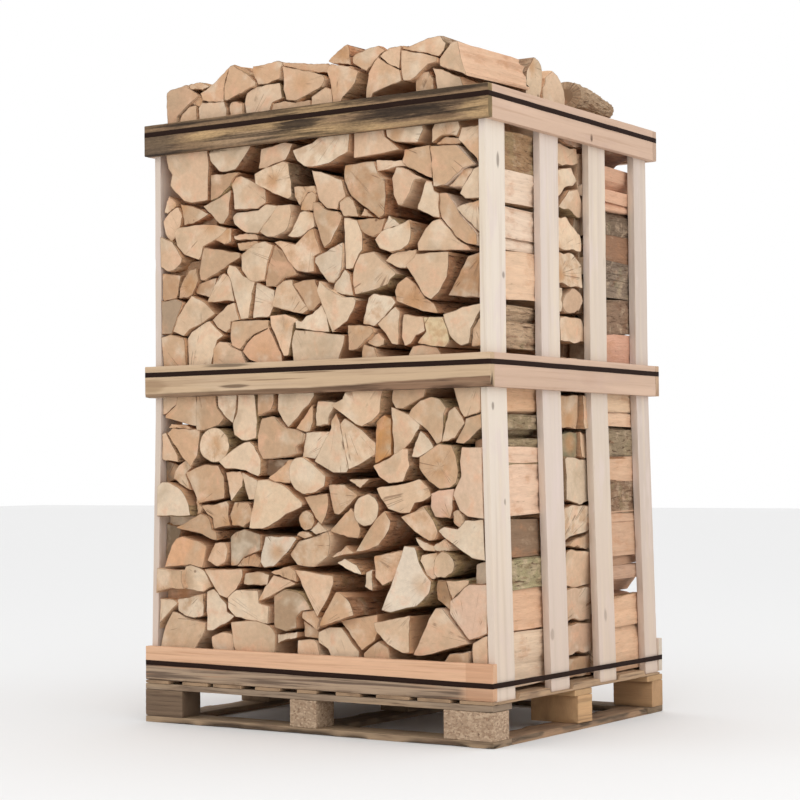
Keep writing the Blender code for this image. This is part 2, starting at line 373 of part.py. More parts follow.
# Log ends of the middle row as seen from the right: how far each stands out, then (y, z).
middle_logs = [
    (0, (3, 142), (145, 142), (145, 198), (3, 198)),
    (0, (-7, 204), (145, 204), (145, 296), (60, 300), (-7, 290)),
    (0, (-9, 302), (143, 300), (143, 392), (-9, 390)),
    (0, (-9, 398), (145, 396), (145, 500), (20, 504)),
    (0, (3, 512), (145, 506), (145, 556)),
    (0, (-12, 570), (145, 562), (145, 634), (-12, 630)),
    (4, (-12, 644), (138, 640), (141, 764), (-10, 762)),
    (0, (88, 770), (140, 768), (140, 845), (88, 842)),
    (-15, (-42, 774), (80, 770), (80, 844), (-42, 842)),
    (0, (88, 852), (145, 850), (145, 952), (90, 950)),
    (-15, (-42, 850), (80, 852), (82, 950), (-42, 945)),
    (0, (-30, 958), (140, 958), (145, 1058), (-30, 1056)),
    (0, (-27, 1102), (128, 1100), (128, 1176), (-27, 1174)),
    (0, (8, 1212), (36, 1192), (82, 1196), (106, 1226), (80, 1254), (30, 1252)),
    (0, (-40, 1200), (0, 1206), (0, 1258), (-40, 1256)),
    (0, (-37, 1266), (98, 1262), (98, 1362), (-37, 1360)),
    (0, (-37, 1368), (98, 1368), (98, 1440), (-37, 1462)),
    (0, (-37, 1487), (145, 1483), (145, 1512), (95, 1545)),
    (0, (-46, 1498), (80, 1552), (98, 1612), (-46, 1598)),
    (0, (-42, 1606), (98, 1620), (98, 1670), (-42, 1668)),
    (0, (-42, 1678), (140, 1676), (140, 1770), (-42, 1764)),
    (0, (112, 1190), (145, 1186), (145, 1300), (108, 1298)),
    (0, (108, 1306), (145, 1308), (145, 1400), (106, 1402)),
    (0, (106, 1408), (145, 1408), (145, 1474), (106, 1476)),
    (0, (106, 1556), (145, 1540), (145, 1668), (106, 1666)),
]
# Heights of the logs in the column that stands nearer to the front row.
middle_column = (142, 282, 431, 606, 740, 881, 1052, 1191, 1342, 1508, 1630, 1766)

side_notches = {"right": (297, 462, 606, 735, 828, 892, 1130, 1195, 1352, 1466, 1558, 1640),
                "left": (371, 470, 594, 680, 777, 900, 1080, 1142, 1256, 1340, 1446, 1530, 1620)}
notch_deep, notch_half = 13, 11

# Outline of the front row's top from left to right, below the loose logs.
heap_outline = ((-546, 1700), (-532, 1740), (-532, 1860), (-440, 1868), (-400, 1862), (-372, 1860),
                (-329, 1885), (-326, 1818), (-302, 1812), (-250, 1831), (-205, 1848), (-119, 1848),
                (-106, 1888), (0, 1860), (40, 1848), (56, 1855), (70, 1876), (125, 1866), (158, 1848),
                (165, 1800), (180, 1788), (200, 1848), (222, 1880), (262, 1893), (294, 1893),
                (308, 1890), (390, 1868), (419, 1853), (425, 1836), (445, 1813), (500, 1783),
                (530, 1740), (546, 1700))
back_outline = ((-546, 1700), (-530, 1740), (-500, 1800), (-480, 1832), (-432, 1840), (-424, 1858),
                (-390, 1884), (-308, 1896), (-262, 1890), (-222, 1880), (-202, 1862), (-180, 1800),
                (-165, 1805), (-158, 1848), (-125, 1880), (-95, 1902), (-70, 1882), (-56, 1862),
                (-40, 1868), (0, 1884), (106, 1896), (119, 1866), (205, 1872), (238, 1872),
                (290, 1850), (312, 1800), (350, 1782), (440, 1774), (530, 1760), (546, 1700))

# Crosswise logs on top of the middle row: (y, z) corners, and the stretches of x they lie on.
cross_tops = (((-122, 1803), (-42, 1801), (-29, 1850), (-31, 1889), (-56, 1915), (-82, 1917),
               (-119, 1872)),
              ((-22, 1801), (98, 1797), (100, 1824), (86, 1866), (63, 1888), (36, 1897),
               (-6, 1870), (-21, 1842)))
cross_right = (208, 500)
cross_body = ((-536, -205), (-166, 168))
bark_log = (480, 1840, 60, 48)  # centre x and z, half width and half height
bark_span = (140, 424)
bark_taper = 0.62               # height of its far end, as a share of that of its near end

wood = {
    "pallet": ((0.40, 0.30, 0.22), 0.85),
    "block": ((0.46, 0.33, 0.21), 0.85),
    "rail": ((0.62, 0.46, 0.33), 0.8),
    "grey": ((0.24, 0.20, 0.13), 0.9),
    "slat": ((0.78, 0.68, 0.58), 0.75),
    "log": ((0.66, 0.47, 0.31), 0.85),
    "bark": ((0.20, 0.17, 0.12), 0.95),
    "strap": ((0.02, 0.015, 0.012), 0.35),
}


def paint(item, kind):
    # Gives the object its own material with the colour and roughness of its kind.
    colour, rough = wood[kind]
    skin = bpy.data.materials.new(item.name + "_" + kind)
    skin.use_nodes = True
    node = skin.node_tree.nodes["Principled BSDF"]
    node.inputs["Base Color"].default_value = (*colour, 1.0)
    node.inputs["Roughness"].default_value = rough
    node.inputs["Metallic"].default_value = 0.0
    item.data.materials.clear()
    item.data.materials.append(skin)


def make(name, verts, faces, place=(0, 0, 0)):
    # Makes an object from corners in millimetres and turns its faces outwards.
    mesh = bpy.data.meshes.new(name)
    mesh.from_pydata([tuple(c * mm for c in v) for v in verts], [], faces)
    work = bmesh.new()
    work.from_mesh(mesh)
    bmesh.ops.recalc_face_normals(work, faces=work.faces)
    work.to_mesh(mesh)
    work.free()
    item = bpy.data.objects.new(name, mesh)
    item.location = tuple(c * mm for c in place)
    bpy.context.scene.collection.objects.link(item)
    return item


def board(name, kind, x, y, z):
    # A straight board between two limits on each axis, placed by its centre.
    half = [(b - a) / 2 for a, b in (x, y, z)]
    centre = [(a + b) / 2 for a, b in (x, y, z)]
    corners = [(i * half[0], j * half[1], k * half[2])
               for k in (-1, 1) for i, j in ((-1, -1), (1, -1), (1, 1), (-1, 1))]
    faces = [(0, 3, 2, 1), (4, 5, 6, 7), (0, 1, 5, 4), (1, 2, 6, 5), (2, 3, 7, 6), (3, 0, 4, 7)]
    item = make(name, corners, faces, centre)
    paint(item, kind)
    return item


def prism(outline, start, stop, axis):
    # Corners and faces of an outline drawn out along one axis.
    # The outline holds (x, z) for "y", (y, z) for "x" and (x, y) for "z".
    place = {"y": lambda p, t: (p[0], t, p[1]),
             "x": lambda p, t: (t, p[0], p[1]),
             "z": lambda p, t: (p[0], p[1], t)}[axis]
    count = len(outline)
    verts = [place(p, start) for p in outline] + [place(p, stop) for p in outline]
    faces = [tuple(range(count)), tuple(range(2 * count - 1, count - 1, -1))]
    for i in range(count):
        j = (i + 1) % count
        faces.append((i, j, count + j, count + i))
    return verts, faces


def gather(name, solids):
    # One object that holds several solids beside each other.
    verts, faces = [], []
    for corner_list, face_list in solids:
        base = len(verts)
        verts += corner_list
        faces += [tuple(base + i for i in face) for face in face_list]
    return make(name, verts, faces)


def cut(item, tool, way):
    # Joins the tool to the item or takes it away, and removes the tool.
    step = item.modifiers.new("step", "BOOLEAN")
    step.object = tool
    step.operation = way
    step.solver = "EXACT"
    graph = bpy.context.evaluated_depsgraph_get()
    result = bpy.data.meshes.new_from_object(item.evaluated_get(graph))
    item.modifiers.clear()
    old = item.data
    item.data = result
    bpy.data.meshes.remove(old)
    bpy.data.objects.remove(tool, do_unlink=True)


def hull(points):
    # Smallest convex outline around the points, anticlockwise.
    points = sorted(set(points))

    def chain(line):
        out = []
        for p in line:
            while len(out) > 1 and turn(out[-2], out[-1], p) <= 0:
                out.pop()
            out.append(p)
        return out[:-1]
    return chain(points) + chain(points[::-1])


def turn(a, b, c):
    # Twice the area of a triangle, positive when it runs anticlockwise.
    return (b[0] - a[0]) * (c[1] - a[1]) - (b[1] - a[1]) * (c[0] - a[0])


def thin_out(points, limit):
    # Drops the corner with the smallest triangle until few enough are left.
    points = list(points)
    while len(points) > limit:
        size = len(points)
        least = min(range(size), key=lambda i: abs(turn(points[i - 1], points[i], points[(i + 1) % size])))
        del points[least]
    return points


def draw_in(points, amount):
    # Moves each corner towards the middle by the amount, and less on small outlines.
    cx = sum(p[0] for p in points) / len(points)
    cz = sum(p[1] for p in points) / len(points)
    out = []
    for x, z in points:
        far = math.hypot(x - cx, z - cz)
        share = max(0.75, 1 - amount / max(far, 1))
        out.append((cx + (x - cx) * share, cz + (z - cz) * share))
    return out


def keep_below(points, normal, limit):
    # Cuts a convex outline with a line and keeps the side where normal . point <= limit.
    out = []
    for i, p in enumerate(points):
        q = points[(i + 1) % len(points)]
        a = normal[0] * p[0] + normal[1] * p[1] - limit
        b = normal[0] * q[0] + normal[1] * q[1] - limit
        if a <= 0:
            out.append(p)
        if a * b < 0:
            t = a / (a - b)
            out.append((p[0] + (q[0] - p[0]) * t, p[1] + (q[1] - p[1]) * t))
    return out


def widest_gap(one, two):
    # The side direction along which two convex outlines lie furthest apart, and its limits.
    best = None
    for first, second, sign in ((one, two, 1), (two, one, -1)):
        for i, p in enumerate(first):
            q = first[(i + 1) % len(first)]
            length = math.hypot(q[0] - p[0], q[1] - p[1])
            if length < 0.5:
                continue
            n = ((q[1] - p[1]) / length, (p[0] - q[0]) / length)
            reach = max(n[0] * c[0] + n[1] * c[1] for c in first)
            start = min(n[0] * c[0] + n[1] * c[1] for c in second)
            if best is None or start - reach > best[0]:
                best = (start - reach, n, reach, start, sign)
    return best


def part_ways(shapes, gap):
    # Trims each pair of convex outlines along the line between them until all lie apart.
    for i in range(len(shapes)):
        for j in range(i):
            one, two = shapes[i], shapes[j]
            if len(one) < 3 or len(two) < 3:
                continue
            if any(min(p[k] for p in one) > max(p[k] for p in two) + gap
                   or min(p[k] for p in two) > max(p[k] for p in one) + gap for k in (0, 1)):
                continue
            room, n, reach, start, sign = widest_gap(one, two)
            if room >= gap:
                continue
            mid = (reach + start) / 2
            back = (-n[0], -n[1])
            low, high = (i, j) if sign > 0 else (j, i)
            shapes[low] = keep_below(shapes[low], n, mid - gap / 2)
            shapes[high] = keep_below(shapes[high], back, -mid - gap / 2)
    return shapes


def slat_inside(z, rail):
    # Inner face of a slat at a height, on the side where the rail stands out so far.
    splay = slat_splay * max(0, bend_height - z) / (bend_height - slat_foot)
    return rail - 2 * rail_thick - touch + splay


def area(points):
    return abs(sum(turn((0, 0), p, points[i - 1]) for i, p in enumerate(points))) / 2


def few_corners(points, steps):
    # Keeps as many corners as the steps give for an outline of this size.
    size = area(points)
    return thin_out(points, next(count for least, count in steps if size >= least))


def log_ends(rows, steps):
    # Convex outlines of the log ends, clear of each other and of the slats.
    shapes = [thin_out(draw_in(hull([(c[0], c[1]) for c in row[1:]]), 2.5), 6) for row in rows]
    shapes = part_ways(shapes, 1.2)
    lean = slat_splay / (bend_height - slat_foot)
    for i, shape in enumerate(shapes):
        middle = sum(p[1] for p in shape) / len(shape)
        tilt = lean if middle < bend_height else 0
        for way, rail in ((1, rail_right), (-1, rail_left)):
            limit = slat_inside(bend_height, rail) - 2 + tilt * bend_height
            shape = keep_below(shape, (way, tilt), limit)
        shape = [p for k, p in enumerate(shape)
                 if math.hypot(p[0] - shape[k - 1][0], p[1] - shape[k - 1][1]) > 2]
        shapes[i] = few_corners(shape, steps)
    return shapes


def stands_out(row):
    # How far a log end stands out, less where a rail runs in front of it.
    top, low = max(c[1] for c in row[1:]), min(c[1] for c in row[1:])
    behind = any(top > a and low < b for a, b in rail_heights.values())
    return min(row[0], 4.5) if behind else row[0]


def row_outline(top, turned):
    # Outline of a row with a groove between each two logs at its sides, anticlockwise.
    right = side_notches["left" if turned else "right"]
    left = side_notches["right" if turned else "left"]

    more = rail_left - rail_right

    def side(z):
        return side_high + (side_low - side_high) * max(0, bend_height - z) / bend_height
    outline = [(-side_low - more, load_floor), (side_low, load_floor)]
    for z in right:
        outline += [(side(z), z - notch_half), (side(z) - notch_deep, z), (side(z), z + notch_half)]
    outline += list(top)[::-1]
    for z in left[::-1]:
        outline += [(-side(z) - more, z + notch_half), (notch_deep - side(z) - more, z),
                    (-side(z) - more, z - notch_half)]
    return outline


def long_row(name, way, top, rows, heap, steps, loose, settled):
    # A row of lengthwise logs: way is -1 at the front and 1 at the back.
    body = gather(name, [prism(row_outline(top, way > 0), way * row_inner, way * row_face, "y")])
    shapes = log_ends(rows + heap, steps)
    ends, late, apart = [], [], []
    for i, shape in enumerate(shapes):
        if len(shape) < 3:
            continue
        row = (rows + heap)[i]
        in_heap = i - len(rows)
        if in_heap in settled:
            shape = [(x, z - settle) for x, z in shape]
        inner = row_inner + 6 + 2 * (i % 3) if in_heap >= 0 else row_face - 10
        solid = prism(shape, way * inner, way * (log_plane + stands_out(row)), "y")
        if in_heap in loose:
            apart.append((in_heap, shape, solid))
        else:
            (late if in_heap in settled else ends).append(solid)
    cut(body, gather("ends", ends), "UNION")
    cut(body, gather("late", late), "UNION")
    for number, (in_heap, shape, solid) in enumerate(apart, 1):
        grown = draw_in(shape, -0.9)
        cutter = gather("cutter", [prism(grown, 0, way * (log_plane + row_inner), "y")])
        cut(body, cutter, "DIFFERENCE")
        paint(gather("top_log_%d" % number, [solid]), "log")
    paint(body, "log")
    return body


def frame_boards():
    # The five boards at the bottom; the end boards slope outside between the blocks.
    half_x, half_y = pallet_half
    inner = half_y - bottom_wide
    for name, way in (("front", -1), ("back", 1)):
        item = board("bottom_board_" + name, "pallet", (-half_x, half_x),
                     sorted((way * inner, way * half_y)), (0, bottom_thick))
        wedges = []
        for a, b in bevel_spans:
            y = way * (half_y + 2)
            slope = [(y, bottom_thick - bevel - 2), (y, bottom_thick + 2),
                     (way * (half_y - bevel) - way * 2, bottom_thick + 2)]
            wedges.append(prism(slope, a, b, "x"))
        tool = gather("wedges", wedges)
        for v in tool.data.vertices:
            v.co -= Vector(item.location)
        tool.location = item.location
        cut(item, tool, "DIFFERENCE")
        paint(item, "pallet")
    side = inner - touch
    for name, x in (("left", (-600, -500)), ("middle", (-70, 28)), ("right", (500, 600))):
        board("bottom_board_" + name, "pallet", x, (-side, side), (0, bottom_thick))


def block(name, x, y, c):
    # A block between the bottom boards and the lead boards, with its upright edges cut off by c.
    outline = [(x[0] + c, y[0]), (x[1] - c, y[0]), (x[1], y[0] + c), (x[1], y[1] - c),
               (x[1] - c, y[1]), (x[0] + c, y[1]), (x[0], y[1] - c), (x[0], y[0] + c)]
    paint(gather(name, [prism(outline, bottom_thick + touch, block_top, "z")]), "block")


def foot_cutters(way, rail):
    # Blocks of air round the feet of the slats at one side of the deck.
    half_x, half_y = pallet_half
    inner = rail - 2 * rail_thick + slat_splay - 3 * touch
    spans = [[front - touch, back + lean + touch] for front, back, lean in slat_places]
    spans[0][0] = -half_y - bevel
    spans[-1][1] = half_y + bevel
    return [prism([(way * inner, a), (way * (half_x + bevel), a), (way * (half_x + bevel), b),
                   (way * inner, b)], slat_foot - touch, slat_foot + deck_thick, "z")
            for a, b in spans]


def deck(low):
    # Boards on the lead boards. Their front ends lie under the rail, and the outer two boards
    # reach the pallet's sides, with notches for the feet of the slats.
    half_y = pallet_half[1]
    front, back = rail_thick + touch - rail_front, rail_back - rail_thick - touch
    step, top = rail_heights["bottom"][0] - touch, low + deck_thick
    side_view = [(-half_y, low), (back, low), (back, top), (front, top), (front, step), (-half_y, step)]
    outer = {1: (-1, rail_left), len(deck_spans): (1, rail_right)}
    for number, (a, b) in enumerate(deck_spans, 1):
        item = gather("deck_board_%d" % number, [prism(side_view, a, b, "x")])
        if number in outer:
            cut(item, gather("feet", foot_cutters(*outer[number])), "DIFFERENCE")
        paint(item, "pallet")


def pallet():
    frame_boards()
    for side, (front_x, middle_x, back_x, middle_y, edge) in block_columns.items():
        block("block_front_" + side, front_x, front_block, edge)
        block("block_middle_" + side, middle_x, middle_y, middle_cut)
        block("block_back_" + side, back_x, back_block, edge)
    low = block_top + touch
    for name, y in (("front", (-500, -400)), ("middle", (-50, 50)), ("back", (400, 500))):
        board("lead_board_" + name, "pallet", (-600, 600), y, (low, low + lead_thick))
    deck(low + lead_thick + touch)


def crate():
    front, back = rail_thick - rail_front, rail_back - rail_thick
    for level, z in rail_heights.items():
        kind = "grey" if level == "top" else "rail"
        board("front_rail_" + level, kind, (-rail_left, rail_right), (-rail_front, front), z)
        board("back_rail_" + level, "rail", (-rail_left, rail_right), (back, rail_back), z)
        if level == "bottom":
            continue
        y = (front + touch, back - touch)
        board("right_rail_" + level, "rail", (rail_right - rail_thick, rail_right), y, z)
        board("left_rail_" + level, "rail", (-rail_left, rail_thick - rail_left), y, z)
    for way, side, rail in ((1, "right", rail_right), (-1, "left", rail_left)):
        straight = rail - rail_thick - touch
        outline = [(straight + slat_splay, slat_foot), (straight, bend_height), (straight, slat_top),
                   (straight - rail_thick, slat_top), (straight - rail_thick, bend_height),
                   (straight + slat_splay - rail_thick, slat_foot)]
        outline = [(way * x, z) for x, z in outline]
        for number, (front, back, lean) in enumerate(slat_places, 1):
            slat = gather("slat_%s_%d" % (side, number), [prism(outline, front, back, "y")])
            for corner in slat.data.vertices:
                share = (slat_top - corner.co.z / mm) / (slat_top - slat_foot)
                corner.co.y += lean * share * mm
            paint(slat, "slat")


def straps():
    # Flat bands around the rails, with small cut corners; the lowest one slopes a little.
    for level, (height, slope) in strap_heights.items():
        rings = []
        for grow, snip in ((0, 0.25), (strap_thick, 0.8)):
            right, left, front, back = [face + touch + grow for face in
                                        (rail_right, rail_left, rail_front, rail_back)]
            rings.append([(right - snip, -front), (right, snip - front), (right, back - snip),
                          (right - snip, back), (snip - left, back), (-left, back - snip),
                          (-left, snip - front), (snip - left, -front)])
        verts = []
        for ring in rings:
            for end in (-strap_wide / 2, strap_wide / 2):
                verts += [(x, y, height + slope * x + end) for x, y in ring]
        faces = []
        for i in range(8):
            j = (i + 1) % 8
            faces += [(16 + i, 16 + j, 24 + j, 24 + i), (j, i, 8 + i, 8 + j),
                      (8 + i, 8 + j, 24 + j, 24 + i), (i, j, 16 + j, 16 + i)]
        paint(make("strap_" + level, verts, faces), "strap")


def middle_row():
    # The crosswise row between the others, with log ends on both sides.
    outline = [(-138, load_floor), (145, load_floor), (145, 1762), (110, 1788), (60, 1793), (15, 1784),
               (-30, 1792), (-90, 1796), (-138, 1776)]
    body = gather("middle_row", [prism(outline, -525, 525, "x")])
    column = []
    for i in range(len(middle_column) - 1):
        low, high = middle_column[i] + 3, middle_column[i + 1] - 3
        column.append((0, (-136, low), (-54 - 6 * (i % 2), low + 3 * (i % 3)),
                       (-56 + 4 * (i % 3), high), (-134, high - 4 * (i % 2))))
    rows = column + middle_logs
    shapes = [thin_out(draw_in(hull([c[:2] for c in row[1:]]), 2.5), 6) for row in rows]
    shapes = part_ways(shapes, 1.2)
    solids = []
    for row, shape in zip(rows, shapes):
        shape = few_corners(shape, middle_corners)
        if len(shape) > 2:
            solids.append(prism(shape, 515, 546 + row[0], "x"))
            turned = [(8 - y, z) for y, z in shape]
            solids.append(prism(turned, -546 - row[0], -515, "x"))
    for outline in cross_tops:
        sunk = [(y, z - 20 if z < 1810 else z) for y, z in outline]
        for a, b in cross_body:
            solids.append(prism(sunk, a, b, "x"))
    cut(body, gather("ends", solids), "UNION")
    paint(body, "log")
    for number, outline in enumerate(cross_tops, 1):
        name = "cross_log_%d" % number
        paint(gather(name, [prism(outline, *cross_right, "x")]), "log")


def back_bark_log():
    # A log with its bark on, nearly round, that lies on the right of the back row and gets lower
    # towards its far end, while its underside stays level.
    x, z, wide, high = bark_log
    outline = [(x + wide * math.cos(a), z + high * math.sin(a))
               for a in [math.radians(22.5 + 45 * i) for i in range(8)]]
    log = gather("bark_log", [prism(outline, *bark_span, "y")])
    under = min(corner.co.z for corner in log.data.vertices)
    far = max(corner.co.y for corner in log.data.vertices)
    for corner in log.data.vertices:
        if corner.co.y == far:
            corner.co.z = under + (corner.co.z - under) * bark_taper
    paint(log, "bark")


def turn_round(rows):
    # The same outlines seen from behind: x changes its sign and the order is turned.
    return [(row[0],) + tuple((-c[0],) + tuple(c[1:2]) for c in row[:0:-1]) for row in rows]


pallet()
crate()
straps()
long_row("front_row", -1, heap_outline, stacked_logs, heap_logs, front_corners, loose_logs,
         front_settled)
middle_row()
rear_heap = turn_round([heap_logs[i] for i in back_heap]) + [(0,) + c for c in back_extra]
long_row("back_row", 1, back_outline, turn_round(stacked_logs), rear_heap, back_corners, (),
         back_settled)
back_bark_log()
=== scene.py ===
# Looks of a strapped crate of split firewood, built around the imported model.
# Every log and board is a surface over two parameters, worked out as whole arrays in millimetres.
import math

import bpy
import numpy as np
from mathutils import Matrix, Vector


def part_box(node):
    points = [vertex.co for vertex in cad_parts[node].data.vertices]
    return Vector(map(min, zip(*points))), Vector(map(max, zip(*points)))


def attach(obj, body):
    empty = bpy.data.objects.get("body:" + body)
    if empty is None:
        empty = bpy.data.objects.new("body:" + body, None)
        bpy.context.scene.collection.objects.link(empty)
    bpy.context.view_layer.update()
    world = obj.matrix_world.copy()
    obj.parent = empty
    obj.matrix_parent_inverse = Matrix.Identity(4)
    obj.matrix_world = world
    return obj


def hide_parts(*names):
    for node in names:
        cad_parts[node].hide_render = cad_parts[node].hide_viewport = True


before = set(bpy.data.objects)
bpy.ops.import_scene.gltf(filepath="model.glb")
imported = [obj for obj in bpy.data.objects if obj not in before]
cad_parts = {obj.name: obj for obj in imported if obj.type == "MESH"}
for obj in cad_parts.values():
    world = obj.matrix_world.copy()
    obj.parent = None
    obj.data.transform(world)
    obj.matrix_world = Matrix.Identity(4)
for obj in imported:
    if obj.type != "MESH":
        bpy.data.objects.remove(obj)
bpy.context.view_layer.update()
print("frame loaded")

mm = 0.001

view = {
    "place": (3.4015, -5.1401, 0.7355),   # metres, in the part's own axes
    "turn": 33.65,                        # degrees towards the left of straight back
    "rise": 1.99,                         # degrees above level
    "roll": -0.41,
    "lens": 91.95, "film": 36,            # millimetres
    "far": 100,                           # metres that it sees
}


def addObject(name, data):
    # A new object in the scene.
    made = bpy.data.objects.new(name, data)
    bpy.context.scene.collection.objects.link(made)
    return made


def stand(thing, axes, place):
    # Puts a camera or lamp at a place, with its own three axes along the given ones.
    rows = [[*row, p] for row, p in zip(np.stack(axes, 1).tolist(), place)]
    thing.matrix_world = Matrix(rows + [[0, 0, 0, 1]])


def unit(vector):
    # The same direction, with a length of one.
    return vector / np.linalg.norm(vector)


def setCamera(s):
    # The view direction from turn and rise; roll turns the picture about it.
    turn, rise, roll = (math.radians(s[k]) for k in ("turn", "rise", "roll"))
    ahead = np.array((-math.sin(turn) * math.cos(rise), math.cos(turn) * math.cos(rise), math.sin(rise)))
    right = np.array((math.cos(turn), math.sin(turn), 0.0))
    up = np.cross(right, ahead)
    right, up = (math.cos(roll) * right + math.sin(roll) * up,
                 math.cos(roll) * up - math.sin(roll) * right)
    lens = bpy.data.cameras.new("photoView")
    lens.sensor_width = s["film"]
    lens.lens = s["lens"]
    lens.clip_end = s["far"]
    camera = addObject("photoView", lens)
    stand(camera, (right, up, -ahead), s["place"])
    bpy.context.scene.camera = camera


setCamera(view)

studio = {
    "floorTone": (0.86, 0.86, 0.86), "floorRough": 0.9, "floorShine": 0.1,
    "floorHalf": 30,                                    # metres from the middle to its edges
    "sky": 1.0,                                         # strength of the white surroundings
    "panels": (("key", (3.6, -5.2, 4.6), 4.0, 70),      # name, place, width in metres, watts
               ("fill", (-4.2, -4.6, 2.6), 4.0, 15),
               ("side", (6.0, 0.6, 2.4), 3.5, 40)),
    "aim": (0.0, 0.0, 0.9),
}


def setLights(s):
    # White surroundings, and soft square lights that point at the middle of the crate.
    world = bpy.data.worlds.new("white")
    world.use_nodes = True
    sky = world.node_tree.nodes["Background"]
    sky.inputs["Color"].default_value = (1, 1, 1, 1)
    sky.inputs["Strength"].default_value = s["sky"]
    bpy.context.scene.world = world
    for name, place, width, power in s["panels"]:
        lamp = bpy.data.lights.new(name, "AREA")
        lamp.size = width
        lamp.energy = power
        back = unit(np.array(place) - np.array(s["aim"]))
        side = unit(np.cross((0, 0, 1), back))
        stand(addObject(name, lamp), (side, np.cross(back, side), back), place)


def setFloor(s):
    # A flat, pale and dull square.
    half = s["floorHalf"]
    sheet = bpy.data.meshes.new("floor")
    sheet.from_pydata([(-half, -half, 0), (half, -half, 0), (half, half, 0), (-half, half, 0)], [],
                      [(0, 1, 2, 3)])
    paint = bpy.data.materials.new("floorPaint")
    paint.use_nodes = True
    shader = paint.node_tree.nodes["Principled BSDF"]
    shader.inputs["Base Color"].default_value = (*s["floorTone"], 1)
    shader.inputs["Roughness"].default_value = s["floorRough"]
    shader.inputs["Specular IOR Level"].default_value = s["floorShine"]
    sheet.materials.append(paint)
    addObject("floor", sheet)


setLights(studio)
setFloor(studio)
bpy.context.scene.view_settings.view_transform = "Standard"
bpy.context.scene.view_settings.look = "None"
print("camera and studio ready")

studioGain = 1.2        # how much brighter than its own tone a surface looks in this studio


def shade(*tone):
    # Turns a colour as seen on a screen, 0 to 255, into the linear one that a shader takes.
    c = np.array(tone) / 255.0
    return np.where(c <= 0.04045, c / 12.92, ((c + 0.055) / 1.055) ** 2.4) / studioGain


def smoothNoise(dice, shape, reach, axis=-1, closed=True):
    # Random numbers, each averaged with its two neighbours along an axis, a quarter from either
    # side, as many times as reach says, and brought to a spread of one.
    field = dice.standard_normal(shape)
    count = field.shape[axis]
    pad = [(0, 0)] * len(shape)
    pad[axis] = (1, 1)
    for _ in range(reach):
        wide = np.pad(field, pad, mode="wrap" if closed else "edge")
        low, high = (np.take(wide, range(start, start + count), axis) for start in (0, 2))
        field = (low + 2 * field + high) / 4
    return field / max(field.std(), 1e-9)


def runOf(points, closed=False):
    # How far along a line each of its points is, from 0, also back at the first if it is closed.
    extra = {"append": points[:1]} if closed else {}
    steps = np.linalg.norm(np.diff(points, axis=0, **extra), axis=1)
    return np.concatenate(((0,), np.cumsum(steps)))


def outwards(points):
    # The outward unit normal at each point of a closed line that runs anticlockwise.
    edge = np.roll(points, -1, 0) - np.roll(points, 1, 0)
    normal = np.stack((edge[:, 1], -edge[:, 0]), 1)
    return normal / (np.linalg.norm(normal, axis=1)[:, None] + 1e-9)


def turned(flat, angle):
    # Places in a plane turned by an angle: a cos - b sin, and a sin + b cos.
    a, b = flat[..., 0], flat[..., 1]
    return np.stack((a * np.cos(angle) - b * np.sin(angle), a * np.sin(angle) + b * np.cos(angle)), -1)


def tubeFaces(tubes, rings, around):
    # Corner numbers and sizes of the faces of many tubes. Each tube has its inner rings, then one
    # corner for its first ring and one for its last, so triangles close it at both ends.
    perTube = (rings - 2) * around + 2
    j = np.arange(around)
    k = (j + 1) % around
    band = np.arange(rings - 3)[:, None] * around
    quads = np.stack((band + j, band + around + j, band + around + k, band + k), -1)
    last = (rings - 3) * around
    start = np.stack((np.full(around, perTube - 2), j, k), -1)
    stop = np.stack((np.full(around, perTube - 1), last + k, last + j), -1)
    loops = np.concatenate([part.reshape(-1) for part in (start, quads, stop)])
    sizes = np.concatenate((np.full(around, 3), np.full((rings - 3) * around, 4), np.full(around, 3)))
    return ((np.arange(tubes) * perTube)[:, None] + loops).reshape(-1), np.tile(sizes, tubes)


def cornerPlaces(source):
    # The pattern's place at each corner of each face, in the same order: triangles that meet in the
    # mean of their ring, and quads between.
    around = source.shape[2] - 1
    j = np.arange(around)
    first, final = (np.broadcast_to(source[:, end].mean(1, keepdims=True), source[:, 1, j].shape)
                    for end in (0, -1))
    start = np.stack((first, source[:, 1, j], source[:, 1, j + 1]), 2)
    middle = np.stack((source[:, 1:-2][:, :, j], source[:, 2:-1][:, :, j],
                       source[:, 2:-1][:, :, j + 1], source[:, 1:-2][:, :, j + 1]), 3)
    stop = np.stack((final, source[:, -2, j + 1], source[:, -2, j]), 2)
    return start, middle, stop


def tubePatterns(capMap, sideMap, ends):
    # Takes the end's map where a face shows the end and the side's map elsewhere.
    tubes = len(ends)
    wrap = np.concatenate((capMap, capMap[:, :, :1]), 2)
    picks = (ends[:, 0], ends[:, 1:-1], ends[:, -1])
    maps = [np.where(pick[..., None, None], a, b).reshape(tubes, -1, 2)
            for a, b, pick in zip(cornerPlaces(wrap), cornerPlaces(sideMap), picks)]
    return np.concatenate(maps, 1).reshape(-1, 2)


def ringsToCorners(values):
    # Values by tube, ring and place round it, in the order of the mesh's corners.
    inner = values[:, 1:-1].reshape(len(values), -1, 3)
    return np.concatenate((inner, values[:, [0, -1], 0]), 1).reshape(-1, 3)


